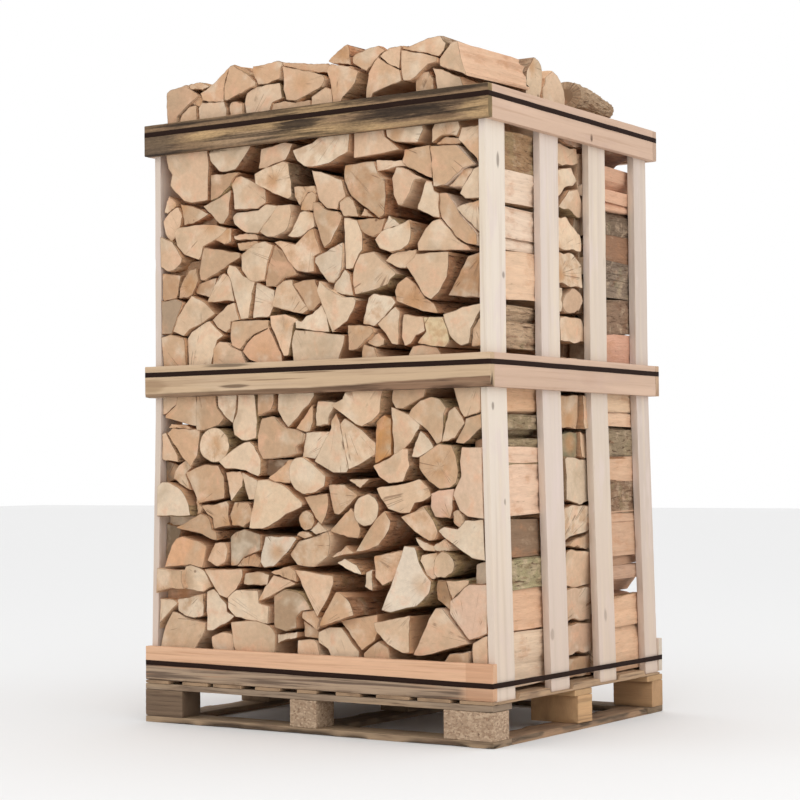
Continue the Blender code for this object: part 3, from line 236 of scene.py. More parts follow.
def tubeMesh(name, points, faceKinds, capMap, sideMap, tones, materials, sharp=32):
    # Joins many tubes into one object. points has the shape (tubes, rings, around, 3), and the first
    # and last ring of each tube shrink to one corner. faceKinds gives a material number for every
    # face, of one tube or of each. capMap (tubes, rings, around, 2) is the pattern's place where
    # the material is an end, sideMap (tubes, rings, around + 1, 2) elsewhere. tones maps a name to
    # colours by corner, and sharp is the angle in degrees past which an edge isn't smoothed.
    tubes, rings, around = points.shape[:3]
    verts = ringsToCorners(points)
    loops, sizes = tubeFaces(tubes, rings, around)
    kinds = np.broadcast_to(faceKinds, (tubes, rings - 1, around))
    patterns = tubePatterns(capMap, sideMap, kinds == 0)
    mesh = bpy.data.meshes.new(name)
    mesh.vertices.add(len(verts))
    mesh.vertices.foreach_set("co", (verts * mm).astype(np.float32).reshape(-1))
    mesh.loops.add(len(loops))
    mesh.loops.foreach_set("vertex_index", loops.astype(np.int32))
    mesh.polygons.add(len(sizes))
    starts = np.concatenate(((0,), np.cumsum(sizes)[:-1]))
    mesh.polygons.foreach_set("loop_start", starts.astype(np.int32))
    mesh.polygons.foreach_set("material_index", kinds.astype(np.int32).reshape(-1))
    mesh.update(calc_edges=True)
    layer = mesh.uv_layers.new(name="pattern")
    layer.uv.foreach_set("vector", (patterns * mm).astype(np.float32).reshape(-1))
    for key, tone in tones.items():
        flat = ringsToCorners(np.broadcast_to(tone, points.shape))
        flat = np.concatenate((flat, np.ones((len(verts), 1))), 1)
        mark = mesh.attributes.new(key, "FLOAT_COLOR", "POINT")
        mark.data.foreach_set("color", flat.astype(np.float32).reshape(-1))
    for material in materials:
        mesh.materials.append(material)
    mesh.validate()
    return smoothPiece(name, mesh, sharp)


def smoothPiece(name, mesh, sharp):
    # A smooth object with sharp edges that rides on the crate.
    mesh.shade_smooth()
    mesh.set_sharp_from_angle(angle=math.radians(sharp))
    piece = addObject(name, mesh)
    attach(piece, "root")
    return piece


class Recipe:
    # Short words for building a material out of nodes.
    def __init__(self, name):
        # Starts a new material.
        self.material = bpy.data.materials.new(name)
        self.material.use_nodes = True
        self.tree = self.material.node_tree
        self.shader = self.tree.nodes["Principled BSDF"]

    def put(self, socket, value):
        # A link if the value comes from a node, else a fixed value.
        if isinstance(value, bpy.types.NodeSocket):
            self.tree.links.new(value, socket)
        else:
            socket.default_value = value

    def node(self, kind, settings=(), **inputs):
        # A new node. Inputs go by name, with _ for a space, or by number as i0, i1 and so on.
        made = self.tree.nodes.new(kind)
        for key, value in dict(settings).items():
            setattr(made, key, value)
        for key, value in inputs.items():
            numbered = key[0] == "i" and key[1:].isdigit()
            self.put(made.inputs[int(key[1:]) if numbered else key.replace("_", " ")], value)
        return made

    def mark(self, name):
        # A colour kept on the mesh.
        return self.node("ShaderNodeAttribute", {"attribute_name": name}).outputs["Color"]

    def parts(self, colour):
        # Its red, green and blue.
        return self.node("ShaderNodeSeparateColor", i0=colour).outputs

    def axes(self, vector):
        # Its x, y and z.
        return self.node("ShaderNodeSeparateXYZ", i0=vector).outputs

    def joined(self, x, y, z=0.0):
        # A vector out of three numbers.
        return self.node("ShaderNodeCombineXYZ", i0=x, i1=y, i2=z).outputs[0]

    def pattern(self, scale=(1, 1, 1), shift=(0, 0, 0)):
        # The piece's own pattern map, stretched and moved along each axis.
        place = self.node("ShaderNodeUVMap", {"uv_map": "pattern"}).outputs[0]
        return self.node("ShaderNodeMapping", i0=place, i1=shift, i3=scale).outputs[0]

    def space(self, scale=(1, 1, 1), shift=(0, 0, 0)):
        # The piece's own axes, stretched and moved.
        place = self.node("ShaderNodeTexCoord").outputs["Object"]
        return self.node("ShaderNodeMapping", i0=place, i1=shift, i3=scale).outputs[0]

    def noise(self, place, scale, detail, rough=0.5, warp=0.0):
        # A soft random number by place.
        return self.node("ShaderNodeTexNoise", Vector=place, Scale=scale, Detail=detail,
                         Roughness=rough, Distortion=warp).outputs[0]

    def cloud(self, scale, detail, rough=0.5, warp=0.0):
        # A noise that is alike every way.
        return self.noise(self.space(), scale, detail, rough, warp)

    def grain(self, across, along, detail, rough=0.5, warp=0.0, shift=(0, 0, 0)):
        # A noise that repeats so often in a metre across the wood and along it.
        return self.noise(self.pattern((across, along, 1), shift), 1, detail, rough, warp)

    def cells(self, place, scale=1.0):
        # Random cells: the three parts of each one's own colour, and the distance from its middle.
        made = self.node("ShaderNodeTexVoronoi", Vector=place, Scale=scale)
        return self.parts(made.outputs["Color"]), made.outputs["Distance"]

    def sums(self, way, a, b=0.0, c=0.0):
        # One step of arithmetic.
        return self.node("ShaderNodeMath", {"operation": way}, i0=a, i1=b, i2=c).outputs[0]

    def times(self, a, b):
        # a times b.
        return self.sums("MULTIPLY", a, b)

    def plus(self, a, b):
        # a plus b.
        return self.sums("ADD", a, b)

    def swing(self, value, gain, base):
        # base plus gain times how far a noise stands from its middle.
        return self.sums("MULTIPLY_ADD", self.sums("SUBTRACT", value, 0.5), gain, base)

    def length(self, vector):
        # How long a vector is.
        return self.node("ShaderNodeVectorMath", {"operation": "LENGTH"}, i0=vector).outputs["Value"]

    def ramp(self, value, low, high, out=(0.0, 1.0)):
        # A smooth step between two limits, from the first to the second number of out.
        return self.node("ShaderNodeMapRange", {"interpolation_type": "SMOOTHSTEP"}, Value=value,
                         From_Min=low, From_Max=high, To_Min=out[0], To_Max=out[1]).outputs[0]

    def mix(self, share, a, b, way="MIX"):
        # a with a share of b.
        made = self.tree.nodes.new("ShaderNodeMix")
        made.data_type = "RGBA"
        made.blend_type = way
        self.put(made.inputs[0], share)
        for number, colour in ((6, a), (7, b)):
            fixed = not isinstance(colour, bpy.types.NodeSocket)
            self.put(made.inputs[number], (*colour, 1) if fixed else colour)
        return made.outputs[2]

    def stain(self, colour, value, low, high, most, tone):
        # Mixes a tone in as a value goes from low to high, by the share most at the end.
        return self.mix(self.ramp(value, low, high, (0.0, most)), colour, tone)

    def lit(self, colour, light):
        # The colour times a brightness.
        grey = self.node("ShaderNodeCombineColor", i0=light, i1=light, i2=light).outputs[0]
        return self.mix(1.0, colour, grey, "MULTIPLY")

    def bump(self, height, strength, distance):
        # Bends the surface's shading by a height, with its depth in metres.
        made = self.node("ShaderNodeBump", Strength=strength, Distance=distance, Height=height)
        self.put(self.shader.inputs["Normal"], made.outputs[0])

    def finish(self, colour, rough, specular=0.3):
        # Gives the shader its colour, roughness and shine.
        self.put(self.shader.inputs["Base Color"], colour)
        self.put(self.shader.inputs["Roughness"], rough)
        self.shader.inputs["Specular IOR Level"].default_value = specular
        return self.material


def readLogs(text):
    # One log a line, and an indented line goes on with it: how far its end stands out, then its
    # corners anticlockwise, each with x, height and, where the side after it bulges, how far.
    rows = [line.split(":") for line in text.strip().replace("\n  ", " ").splitlines()]
    return [(float(out), *[tuple(map(float, corner.split())) for corner in corners.split(",")])
            for out, corners in rows]


stackedLogs = readLogs("""
0: -588 272, -555 306, -528 330, -503 350, -520 361, -588 364
0: -527 325 20, -568 142, -490 142, -404 272, -402 296, -452 302
0: -508 360, -505 328 14, -404 318, -405 381
20: -588 378, -520 394, -462 394, -474 418, -470 447, -588 452
0: -473 392, -410 384, -379 403, -403 447 7, -470 461 9
0: -398 452, -350 378, -322 370, -285 398, -262 436, -264 455
-5: -396 273, -376 274, -318 302, -298 318, -325 330, -325 352, -345 368, -372 396, -397 388
-10: -374 142, -292 142, -304 266 9, -381 256
5: -268 142, -155 142, -142 270, -162 298, -210 309, -297 303, -291 250
-5: -140 246, -108 257, -70 265, -70 281, -140 270
0: -290 316, -250 311, -168 301, -164 350, -200 360, -203 396, -285 396, -319 372, -320 342
0: -393 478, -360 461 5, -319 484, -316 515, -322 532, -362 530
-8: -285 463, -207 463, -200 480, -225 500, -262 488
-5: -262 411, -172 411, -166 440, -202 450, -258 443
0: -158 449, -100 431, -68 422, -70 453, -95 467
0: -202 364, -147 386, -105 405, -72 417, -100 429, -151 440, -182 400
5: -146 290, -105 282, -66 292, -66 322, -45 342, -12 347, -38 386, -65 396, -105 402, -147 382
5: 14 326, 46 375, 66 420, 62 443, -5 452, -76 457, -66 442
25: 30 302, 146 336 16, 88 400, 40 326
10: 80 480, 130 456, 165 450, 150 474, 106 493
0: 168 414, 196 404, 190 462, 172 455
0: 158 238, 202 268, 214 296, 208 340, 84 318
-5: 85 142, 135 142, 142 234, 84 300, 42 299, 4 283, 5 254, 38 238
0: -70 142, 40 142, 5 252, -5 262, -66 259
-10: -47 268, 0 264, 2 284, -48 314
0: -50 322, 2 290, 12 320, -8 345, -48 340
15: 215 294, 252 260, 302 238, 323 240, 325 340, 272 331, 208 318
0: 325 233, 360 233, 506 270, 425 364, 402 362, 382 338
-5: 362 142, 500 142, 505 249, 440 240
0: 163 142, 272 142, 245 252, 212 266, 161 232
-5: 513 252 5, 534 142, 562 142, 562 294, 515 273
0: 447 350, 508 281, 562 300, 562 431, 508 431, 449 384
-5: 450 387, 503 431, 504 441, 434 438
-5: 404 386, 443 357, 448 382, 433 436, 405 440, 400 425
0: 352 492, 368 460 5, 395 440, 404 446, 401 480, 407 513, 360 506
5: 225 352, 255 347, 318 362, 345 366, 387 402, 393 436, 366 459, 350 490, 335 527, 300 530, 272 458,
  247 402
-5: 201 440, 222 418, 254 432, 273 461, 296 519, 201 500
0: -590 779, -502 766, -502 783, -547 856 10, -592 812
0: -478 777, -450 752, -425 790, -422 862, -525 866, -541 852
0: -520 716, -453 683, -474 730, -450 752, -470 775, -500 758, -516 738
-20: -590 682, -552 708, -524 720, -512 758, -545 768, -590 775
20: -590 606, -440 609, -447 640 6, -488 692 5, -545 709, -590 678
0: -422 645, -385 652, -329 659, -330 722, -350 756, -402 759, -470 737
0: -364 764 15, -310 815 15, -364 866 15, -418 815 15
5: -343 768, -320 746, -285 746, -243 739, -196 722, -188 730, -188 768, -212 808, -232 825, -252 822,
  -285 806
0: -322 735, -308 682, -298 652, -260 694, -258 722, -270 738
0: -239 656, -208 656, -202 700, -205 712, -262 734, -252 693
0: -298 583, -256 577, -234 592 4, -229 630, -240 648, -290 648, -306 610
0: -414 638, -393 614, -374 604, -367 570, -340 576, -305 581, -311 610, -310 642, -318 652, -370 640
-5: -433 612, -420 616, -412 632, -424 644, -436 662
5: -506 572, -452 562, -414 556, -375 541, -353 538, -353 563, -369 568, -377 600, -388 610, -410 615,
  -425 609
-25: -583 500, -565 480, -542 488, -524 528, -512 555, -512 572, -583 586
5: -545 455, -455 465, -405 455, -396 520, -430 535, -485 547, -506 541, -524 520
-5: -311 463, -287 465, -262 489, -226 502, -200 512, -196 556, -256 571, -290 564, -309 548
-20: -188 727, -165 722, -150 731, -108 770, -186 771
0: -163 718, -142 707, -87 702, -86 735, -77 770, -92 770
10: -30 671, 12 678, 40 694, 44 722, 0 757, -40 779 4, -76 764 6, -82 712 8
-5: 112 712, 150 687, 183 714
10: 180 584 13, 222 628 13, 180 671 13, 139 627 13
0: 62 617, 80 615, 124 648, 150 668, 103 699, 46 698, 50 655
0: 3 603, 20 587, 38 608, 48 643, 41 675, -42 665
0: 45 568, 108 553, 150 549, 158 575, 143 612, 122 635
-5: -35 569 8, -8 598 8, -34 625 8, -61 597 8
-10: -30 570, -5 557, 38 568, 2 594, -10 580
-5: -68 553, -40 546, -15 554, -35 566, -62 565
5: -229 573, -180 572, -130 594, -100 613, -45 635, -44 648, -109 698, -168 714, -203 712
0: -200 476, -185 460, -150 465, -97 505, -60 546, -70 551, -180 551, -190 520
0: -92 500, -67 470, -5 466, 8 477, 45 498, 52 540, 45 567, 0 553, -40 543, -60 538
-5: 52 494, 80 499, 130 507, 103 528
5: 379 706, 417 685, 450 689, 475 702, 483 735, 477 777, 463 804, 421 810, 351 773, 347 745
5: 508 611, 562 607, 562 797, 490 800, 485 760, 487 720, 468 690, 461 668, 482 628
0: 225 660, 247 631, 290 619, 318 620, 335 648, 362 652, 388 668, 384 687, 366 700, 350 713, 300 700,
  212 689
0: 386 640, 400 610, 450 606, 461 636, 459 664, 466 687, 417 684, 388 674
5: 204 750, 221 722, 254 702, 300 706, 322 750, 317 797, 300 797, 246 768
5: 292 610, 338 568, 383 544, 405 550, 412 570, 400 600, 380 628, 370 640, 330 622
15: 146 512, 190 517, 226 531, 262 575, 266 600, 248 626, 215 602, 190 570
0: 343 540, 362 520, 400 516, 395 530, 357 546, 337 556
5: 403 520, 418 516, 448 520, 447 535, 433 549, 398 531
-5: 458 592, 475 581, 493 597, 490 610, 474 631, 456 622
5: 412 573, 437 552, 467 535, 492 516, 518 500, 562 494, 562 605, 502 602, 476 577, 433 583
10: 404 494, 402 469 5, 412 448 5, 454 457 5, 467 482 4, 458 502 4, 430 517 4
0: -568 907, -547 909, -505 938, -500 1008, -576 1008, -576 925
0: -548 898, -435 870, -427 930, -435 1008, -487 1008, -506 934, -546 906
0: -432 859, -402 859, -347 872, -328 892, -352 922, -368 1008, -426 1008, -431 909
0: -297 878, -284 913, -275 1008, -362 1008, -350 924, -318 890
0: -292 842, -262 829, -243 826, -208 832, -206 880, -214 955, -246 1008, -272 1008, -280 912, -296 878
-5: -540 868, -455 864, -470 875, -530 880
0: -203 896, -150 914, -142 935, -142 1008, -205 1008
0: -97 861, -24 926, -4 950, -8 1008, -124 1008, -131 913, -114 880
0: -207 840, -203 800, -186 773, -105 778, -62 786, -66 806, -38 822, -36 843, -68 855, -105 860,
  -145 895, -190 890
0: -66 858, -36 848, -18 850, -6 872, -6 928
0: 3 864, 45 868, 47 888, 64 912, 78 928, 10 936, 1 900
0: 120 740, 150 752, 203 781, 203 814, 168 846, 103 884, 90 868, 104 806
5: 4 765, 66 732, 112 731, 118 743, 100 818, 86 880, 76 903, 60 880, 60 858
0: -42 778, 2 770, 38 812, 58 848, -33 848
15: 72 922, 150 866, 172 858, 203 872, 230 897, 243 1008, 130 1008, 110 938
0: 264 925, 275 907, 300 905, 330 921, 370 938, 388 1008, 262 1008
5: 408 808, 424 815, 433 860, 435 890, 446 906, 426 930, 400 937, 362 929, 328 904, 320 888, 380 846
0: 428 812, 466 822, 498 862, 490 882, 466 908, 448 897, 437 862
0: 500 880, 562 895, 562 1008, 440 1008, 484 898
0: 465 811, 492 807, 530 832, 562 860, 562 890, 502 876, 498 858, 468 820
-5: 202 757, 256 780, 257 880, 235 893, 222 886, 205 870
0: 264 781, 283 781, 322 815, 352 850, 356 862, 322 890, 298 899, 262 912
0: 325 773, 346 771, 354 774, 402 797, 384 824, 356 846, 338 812
0: -592 1013, -468 1013, -470 1134, -522 1146, -560 1139, -584 1098
0: -462 1013, -385 1013, -366 1085, -350 1122, -322 1134, -352 1156, -377 1180, -395 1175, -452 1151,
  -468 1132
0: -372 1013, -232 1013, -262 1086, -300 1100, -312 1115, -342 1118, -364 1097
0: -302 1134, -294 1103, -262 1090, -240 1115, -215 1133, -165 1150, -165 1172, -298 1176
0: -258 1086, -235 1062, -110 1013, -116 1073, -163 1156, -165 1147, -215 1130, -240 1112
0: -105 1066, -90 1068, -80 1105, -72 1160, -55 1166, -84 1180, -104 1187, -158 1184, -152 1154
0: -68 1013, 68 1013, 98 1100, 101 1117, 3 1132, -66 1141, -79 1101
5: 118 1074, 148 1076, 172 1095, 208 1120, 205 1132, 158 1143, 119 1144
0: 152 1013, 235 1013, 205 1078, 168 1090
-8: 170 1093, 205 1081, 232 1085, 236 1100, 212 1120
0: 214 1144, 243 1115, 263 1087, 284 1084, 289 1150, 292 1175, 278 1190, 240 1162
0: 308 1078, 328 1083, 347 1106, 376 1118, 368 1155, 300 1168, 296 1105
0: 348 1085, 408 1074, 436 1070, 452 1090, 446 1118, 430 1152, 372 1156, 378 1116
0: 450 1105, 470 1084, 488 1073, 512 1078, 520 1118, 543 1156, 562 1186, 500 1178, 433 1160
-10: 515 1070, 548 1070, 548 1150, 522 1118
-5: 300 1013, 440 1013, 408 1070, 360 1081, 330 1078
5: -590 1148, -520 1148, -500 1190, -475 1238, -500 1250, -558 1246, -590 1250
0: -552 1248, -505 1252, -495 1290, -490 1320, -566 1330, -574 1283
0: -497 1252, -462 1253, -445 1262, -420 1300, -428 1338, -456 1333, -478 1308, -494 1278
-8: -440 1264, -386 1250, -378 1262, -360 1292, -356 1306, -414 1296, -440 1286
5: -514 1153, -473 1138, -452 1156, -394 1178, -378 1187, -353 1200, -389 1232, -445 1258, -470 1232,
  -498 1194
0: -414 1301, -400 1300, -350 1318, -300 1346, -264 1360, -268 1372, -400 1398, -412 1360, -419 1320
0: -386 1235, -345 1232, -312 1236, -288 1232, -300 1290, -308 1308, -325 1318, -343 1312
0: -267 1179, -240 1179, -222 1250, -210 1286, -252 1304, -278 1333, -302 1341, -310 1318, -297 1290,
  -282 1225
0: -372 1182, -348 1156, -320 1143, -303 1154, -302 1174, -270 1178, -285 1228, -310 1225, -340 1202
-5: -222 1180, -165 1182, -150 1208, -143 1258, -172 1270, -208 1285, -214 1240
10: -572 1366 4, -548 1342 4, -515 1333 4, -478 1358, -474 1370, -512 1420, -552 1438, -582 1436,
  -584 1400
5: -418 1362, -408 1378, -402 1400, -370 1412, -312 1445, -355 1462, -402 1466, -497 1461, -508 1448,
  -497 1408, -472 1380
-3: -368 1420, -327 1402, -298 1408, -300 1446, -312 1449, -345 1430
-5: -290 1414, -203 1408, -203 1422, -252 1430, -293 1424
-5: -270 1380, -232 1382, -203 1396, -205 1405, -278 1402
5: -256 1321, -233 1292, -205 1285, -172 1287, -163 1333, -140 1386, -170 1400, -205 1398, -235 1380,
  -258 1365
0: -168 1269, -138 1267, -110 1290, -60 1298, -66 1308, -101 1354, -110 1367, -138 1388, -160 1333,
  -169 1287
5: -58 1307, -30 1302, -1 1303, 3 1346, 27 1354, 20 1376, 8 1424, -6 1420, -24 1410, -60 1382, -110 1396,
  -132 1394, -108 1374, -88 1338
0: -97 1410, -80 1405, -48 1405, -22 1418, 6 1430, -2 1470, -30 1478, -48 1474, -78 1428
5: 41 1366, 62 1380, 88 1422, 100 1454, 84 1468, 46 1475, 18 1497, 0 1500, 3 1462, 28 1392
0: 46 1270, 64 1266, 84 1284, 97 1310, 103 1378, 45 1358, 5 1342, 3 1329, 20 1300
-5: 62 1243, 104 1230, 131 1226, 119 1290, 104 1302, 86 1282, 66 1263
0: 106 1304, 132 1304, 154 1342, 170 1352, 170 1400, 152 1438, 104 1449
0: 141 1230, 205 1236, 255 1252, 262 1264, 283 1279, 237 1317, 205 1346, 157 1343, 144 1320, 132 1290,
  133 1262
0: -151 1210, -93 1196, -40 1183, -22 1194, -76 1270, -76 1284, -110 1283, -132 1266
0: -20 1193, -5 1192, 23 1213, 20 1242, 3 1281, -40 1280, -72 1272
5: 62 1127, 116 1155, 137 1184, 150 1213, 141 1222, 103 1225, 54 1250, 24 1274, 16 1250, 25 1222, 44 1180
0: 3 1134, 52 1128, 42 1178, 24 1206, -5 1184, -28 1176, -48 1162, -66 1166, -66 1144
0: 150 1425, 172 1400, 204 1386, 233 1400, 244 1436, 225 1434, 200 1440, 148 1438
0: 104 1452, 156 1446, 138 1494, 118 1508, 88 1500, 90 1472
-5: 160 1450, 203 1443, 172 1470
10: 225 1354, 262 1340, 304 1344, 326 1354 4, 342 1388, 337 1425, 279 1409, 233 1400, 209 1379
0: 238 1403, 280 1411, 292 1415, 278 1429, 256 1442
0: 353 1338, 516 1332, 508 1343, 475 1362, 452 1394, 425 1422, 400 1417, 378 1400, 352 1358
0: 425 1426, 452 1396, 476 1366, 510 1346, 546 1342, 546 1370, 492 1426, 470 1460, 448 1490, 421 1492,
  421 1446
0: 476 1446, 500 1422, 548 1376, 562 1376, 562 1464, 504 1456
10: 404 1200, 426 1217, 450 1262, 455 1300, 454 1330, 350 1330, 346 1320, 318 1300, 346 1265, 380 1212
0: 242 1318, 283 1296, 312 1292, 345 1328, 345 1342, 300 1342, 262 1336
0: 279 1204, 325 1187, 368 1171, 412 1165, 400 1190, 374 1210, 342 1250, 316 1271, 284 1252, 277 1233
-20: 440 1212, 562 1198, 562 1330, 500 1316, 470 1262
0: 166 1146, 205 1138, 242 1165, 278 1200, 266 1217, 205 1228, 188 1218
5: -505 1566, -475 1542, -445 1533, -384 1535, -380 1600, -376 1645, -388 1730, -546 1730, -530 1640,
  -515 1622, -526 1590
10: -364 1649, -343 1624 4, -310 1612, -277 1616, -222 1678, -225 1730, -378 1730
0: -376 1534, -350 1538, -298 1570, -290 1590, -262 1608, -376 1610
0: -322 1461, -304 1487, -300 1560, -345 1540, -408 1521, -372 1493, -340 1462
0: -475 1469, -435 1471, -394 1487, -378 1496, -443 1524, -490 1533, -480 1500
0: -552 1512, -540 1508, -502 1528, -505 1540, -533 1560, -542 1545
0: -527 1421, -504 1437, -490 1466, -482 1495, -495 1524, -505 1525, -540 1504, -556 1484, -548 1446
5: -190 1428, -160 1412 4, -113 1417 5, -84 1446, -76 1478, -80 1500, -122 1500
0: -281 1500, -200 1496, -173 1513, -172 1550, -200 1567, -238 1588, -262 1598, -280 1594, -293 1576,
  -286 1545
0: -292 1458, -243 1430, -196 1424, -126 1499, -172 1509, -200 1492, -285 1492, -300 1480
0: -197 1612, -172 1612, -100 1630, -85 1648, -72 1674, -100 1680, -186 1668
10: -66 1652, -51 1620, -26 1603, 3 1599, 62 1603, 95 1620, 128 1630, 130 1730, 95 1730, 3 1667
10: -200 1568, -138 1537, -82 1513, -70 1520, -72 1562, -84 1618, -101 1625, -172 1607, -204 1597
0: -50 1492, -42 1504, -20 1530, 10 1524, 2 1546, -68 1548, -66 1520
0: -46 1482, -5 1476, 10 1506, 10 1520, -5 1532, -20 1528, -42 1503
0: 16 1502, 46 1478, 82 1472, 88 1492, 115 1506, 101 1555, 28 1583, -8 1593, 3 1549
0: 104 1552, 128 1508, 157 1486, 204 1455, 226 1438, 247 1446, 250 1500, 247 1545, 222 1560, 208 1598,
  106 1596
0: 139 1612, 200 1616, 298 1622, 275 1641, 246 1662, 232 1730, 141 1730
5: 254 1661, 283 1645, 325 1637, 358 1637, 376 1670, 352 1730, 244 1730
0: 302 1587, 317 1574, 358 1553, 400 1533, 397 1590, 392 1626, 312 1621
-5: 210 1568, 283 1577, 314 1576, 300 1592, 212 1602
0: 284 1471, 300 1471, 325 1500, 340 1532, 367 1538, 304 1572, 283 1573, 267 1545, 272 1500
0: 352 1452, 383 1438, 404 1426, 424 1424, 421 1446, 421 1492, 404 1500, 398 1526, 380 1532, 362 1485
10: 412 1508, 447 1510, 490 1540, 500 1553, 540 1560, 484 1617, 404 1620
-5: 450 1507, 497 1504, 530 1550, 500 1552, 488 1538
0: 402 1630, 434 1650, 484 1643, 494 1662, 467 1730, 434 1730, 402 1668
-8: 410 1626, 486 1622, 484 1638, 434 1645
0: 487 1632, 500 1618, 562 1560, 562 1668, 496 1664
0: 490 1484, 508 1470, 562 1468, 562 1556, 533 1550, 498 1500
""")
heapLogs = readLogs("""
0: -537 1735, -510 1735, -502 1793, -452 1828, -412 1848, -456 1876, -456 1885, -527 1878, -539 1870,
  -543 1828
0: -452 1872, -402 1865, -376 1872, -404 1887, -424 1889, -456 1885
0: -500 1735, -424 1735, -428 1822, -455 1822, -486 1797
-5: -450 1830, -425 1818, -414 1815, -404 1834, -414 1848
0: -414 1735, -322 1735, -314 1800, -322 1820, -377 1824, -404 1826, -416 1812
0: -402 1832, -384 1826, -325 1821, -322 1862, -312 1895, -300 1920, -314 1912, -360 1878, -378 1870,
  -410 1854
5: -318 1823, -308 1822, -252 1838, -203 1854, -200 1864, -231 1890, -247 1902, -285 1924, -297 1922,
  -309 1895, -317 1862
0: -294 1735, -252 1735, -253 1807, -285 1820, -300 1817, -305 1806
0: -240 1735, -176 1735, -143 1799, -106 1808, -110 1838, -114 1853, -204 1853, -243 1838, -248 1810
0: -197 1857, -163 1855, -116 1866, -113 1899, -108 1912, -130 1920, -147 1916, -216 1913, -218 1892,
  -200 1866
5: -93 1802, -60 1794, -26 1803, 12 1816, 41 1828, 49 1846, 41 1857, 3 1870, -104 1900, -102 1832
-10: -104 1901, 3 1872, 44 1868, 47 1882, 45 1891, -40 1902, -108 1912
0: -6 1735, 78 1735, 62 1816, 42 1824, 14 1812, -4 1800
0: -168 1735, -10 1735, -10 1792, -60 1791, -96 1798, -140 1795
5: 82 1735, 108 1785, 153 1824, 162 1852, 128 1873, 66 1886, 54 1882, 50 1872, 62 1841
0: 68 1889, 130 1877, 128 1920, 122 1939, 87 1920, 55 1896
0: 140 1878, 186 1853, 200 1866, 224 1890, 248 1904, 225 1919, 204 1920, 150 1906, 138 1898
0: 178 1735, 205 1788, 245 1798, 305 1812, 298 1842, 254 1865, 224 1889, 204 1866, 190 1845
0: 229 1890, 257 1866, 298 1846, 300 1911, 275 1911, 250 1904
5: 312 1810, 337 1807, 375 1833, 396 1846, 424 1850, 425 1861, 392 1874, 304 1898, 303 1845
0: 304 1901, 392 1877, 426 1865, 443 1880, 447 1900, 429 1922, 400 1922, 367 1916, 322 1904, 304 1912
5: 429 1838, 467 1824, 514 1806, 522 1800, 500 1853, 488 1899, 466 1900, 428 1858
0: 427 1735, 522 1735, 492 1802, 426 1832, 402 1838, 412 1816
-8: 340 1735, 404 1735, 404 1806, 390 1830, 368 1830, 345 1812
""")

# The slats lean out below their bend, by splay at the foot, and the logs beside them follow.
slatLean = {"foot": 120, "bend": 950, "splay": 19}

logCut = {
    "around": 44,             # corners round a log
    "plane": 465,             # how far in front of the middle the ends stand
    "length": (304, 314),
    "usual": 312,             # the length that taper, twist and drift are given for
    "endRings": (0.0, 0.42, 0.78),   # shares of the way from an end's centre to its rim
    "chamfer": 1.3, "lip": 0.7,      # rounding of the rim, and the share of it that lies in the end
    "barkThick": (4.0, 0.3),  # width of the bark's edge, and its most as a share of the way in
    "roundCorner": 0.12,      # share by which neighbours pull a corner in
    "rough": 0.7,             # waviness of the saw cut's outline
    "fibre": 1.1,             # depth of the grooves along split sides
    "grooves": (0.6, 0.8),    # shares of fine and broader grooves
    "lumps": (0.9, 0.35),     # lumps along bark and along split wood
    "deepFrom": 12,           # where the grooves have their full depth
    "taper": 2.2, "sink": 0.25,      # how much thinner it gets along its length, and at once
    "blunt": 0.03,            # rounding of the far end, as a share of its size
    "tilt": 0.05, "mostTilt": 0.12,  # lean of a sawn end
    "tiltReach": 60,          # how far along the log the lean fades out
    "wobble": 0.5,            # unevenness of a sawn end
    "twist": 0.025,
    "drift": (4, 7),          # how far the far end stands aside and up
    "inside": (559.0, 551.0), # inner limits at the left and right slats above the bend
    "lean": slatLean["splay"] / (slatLean["bend"] - slatLean["foot"]),
    "lowest": 129.5, "highest": 1936.0,
    "railBands": ((123, 222), (958, 1051), (1680, 1773)),
    "railClear": 4,           # how much wider than its rail a band is
    "behindRail": 470.2, "mostForward": 491.0,   # how far out the ends may stand there and elsewhere
    "round": 0.7,             # share of the logs that keep the bark on their round sides
    "barked": 0.4,            # share of the logs whose low right side keeps its bark
    "barkedSeed": 500,        # what is added to the seed for that choice
    "lowRight": ((0.8, -0.6), 0.4),  # that side's direction, and how near to it a corner faces
    "faces": {"look": 0.25, "bark": -0.3, "split": 0.35},   # the same for single logs and flanks
    "outer": 500,             # logs that reach further out show at the side of the crate
    "shrink": 0,              # how much smaller than its outline a log is made
    "warm": 0,                # share by which the ends turn towards the warm tone
    "warmTone": shade(228, 184, 146),
    "sideShadeNearEnd": 0.06,             # painted shade: how much darker the sides are next to the sawn ends
    "sideShadeReach": (1.2, 50),   # where that painted shade starts to fade, and how far in
    "mapSpread": 4000,        # each log shows another part of the wood's pattern
}

# Tones of the split logs, as seen on a screen, with how often each one comes.
endTones = ((shade(235, 206, 174), 5), (shade(226, 192, 158), 5), (shade(214, 176, 140), 5),
            (shade(204, 164, 128), 3), (shade(231, 194, 160), 4), (shade(238, 213, 184), 3),
            (shade(222, 180, 142), 3))
sideTones = ((shade(243, 201, 162), 4), (shade(235, 189, 149), 4), (shade(224, 176, 136), 3),
             (shade(246, 211, 175), 3), (shade(211, 167, 128), 3))
barkTones = ((shade(202, 158, 120), 4), (shade(184, 138, 104), 3), (shade(210, 170, 132), 3),
             (shade(184, 156, 116), 2), (shade(190, 138, 102), 2))
toneSpread = 0.05             # how much lighter or darker a log or board is than its tone


def pickTones(dice, choices, count):
    # One tone for each log, by how often it comes, a little lighter or darker.
    tones = np.array([t for t, _ in choices])
    odds = np.array([w for _, w in choices], float)
    chosen = tones[dice.choice(len(tones), count, p=odds / odds.sum())]
    return chosen * (1 + toneSpread * dice.standard_normal((count, 1)))


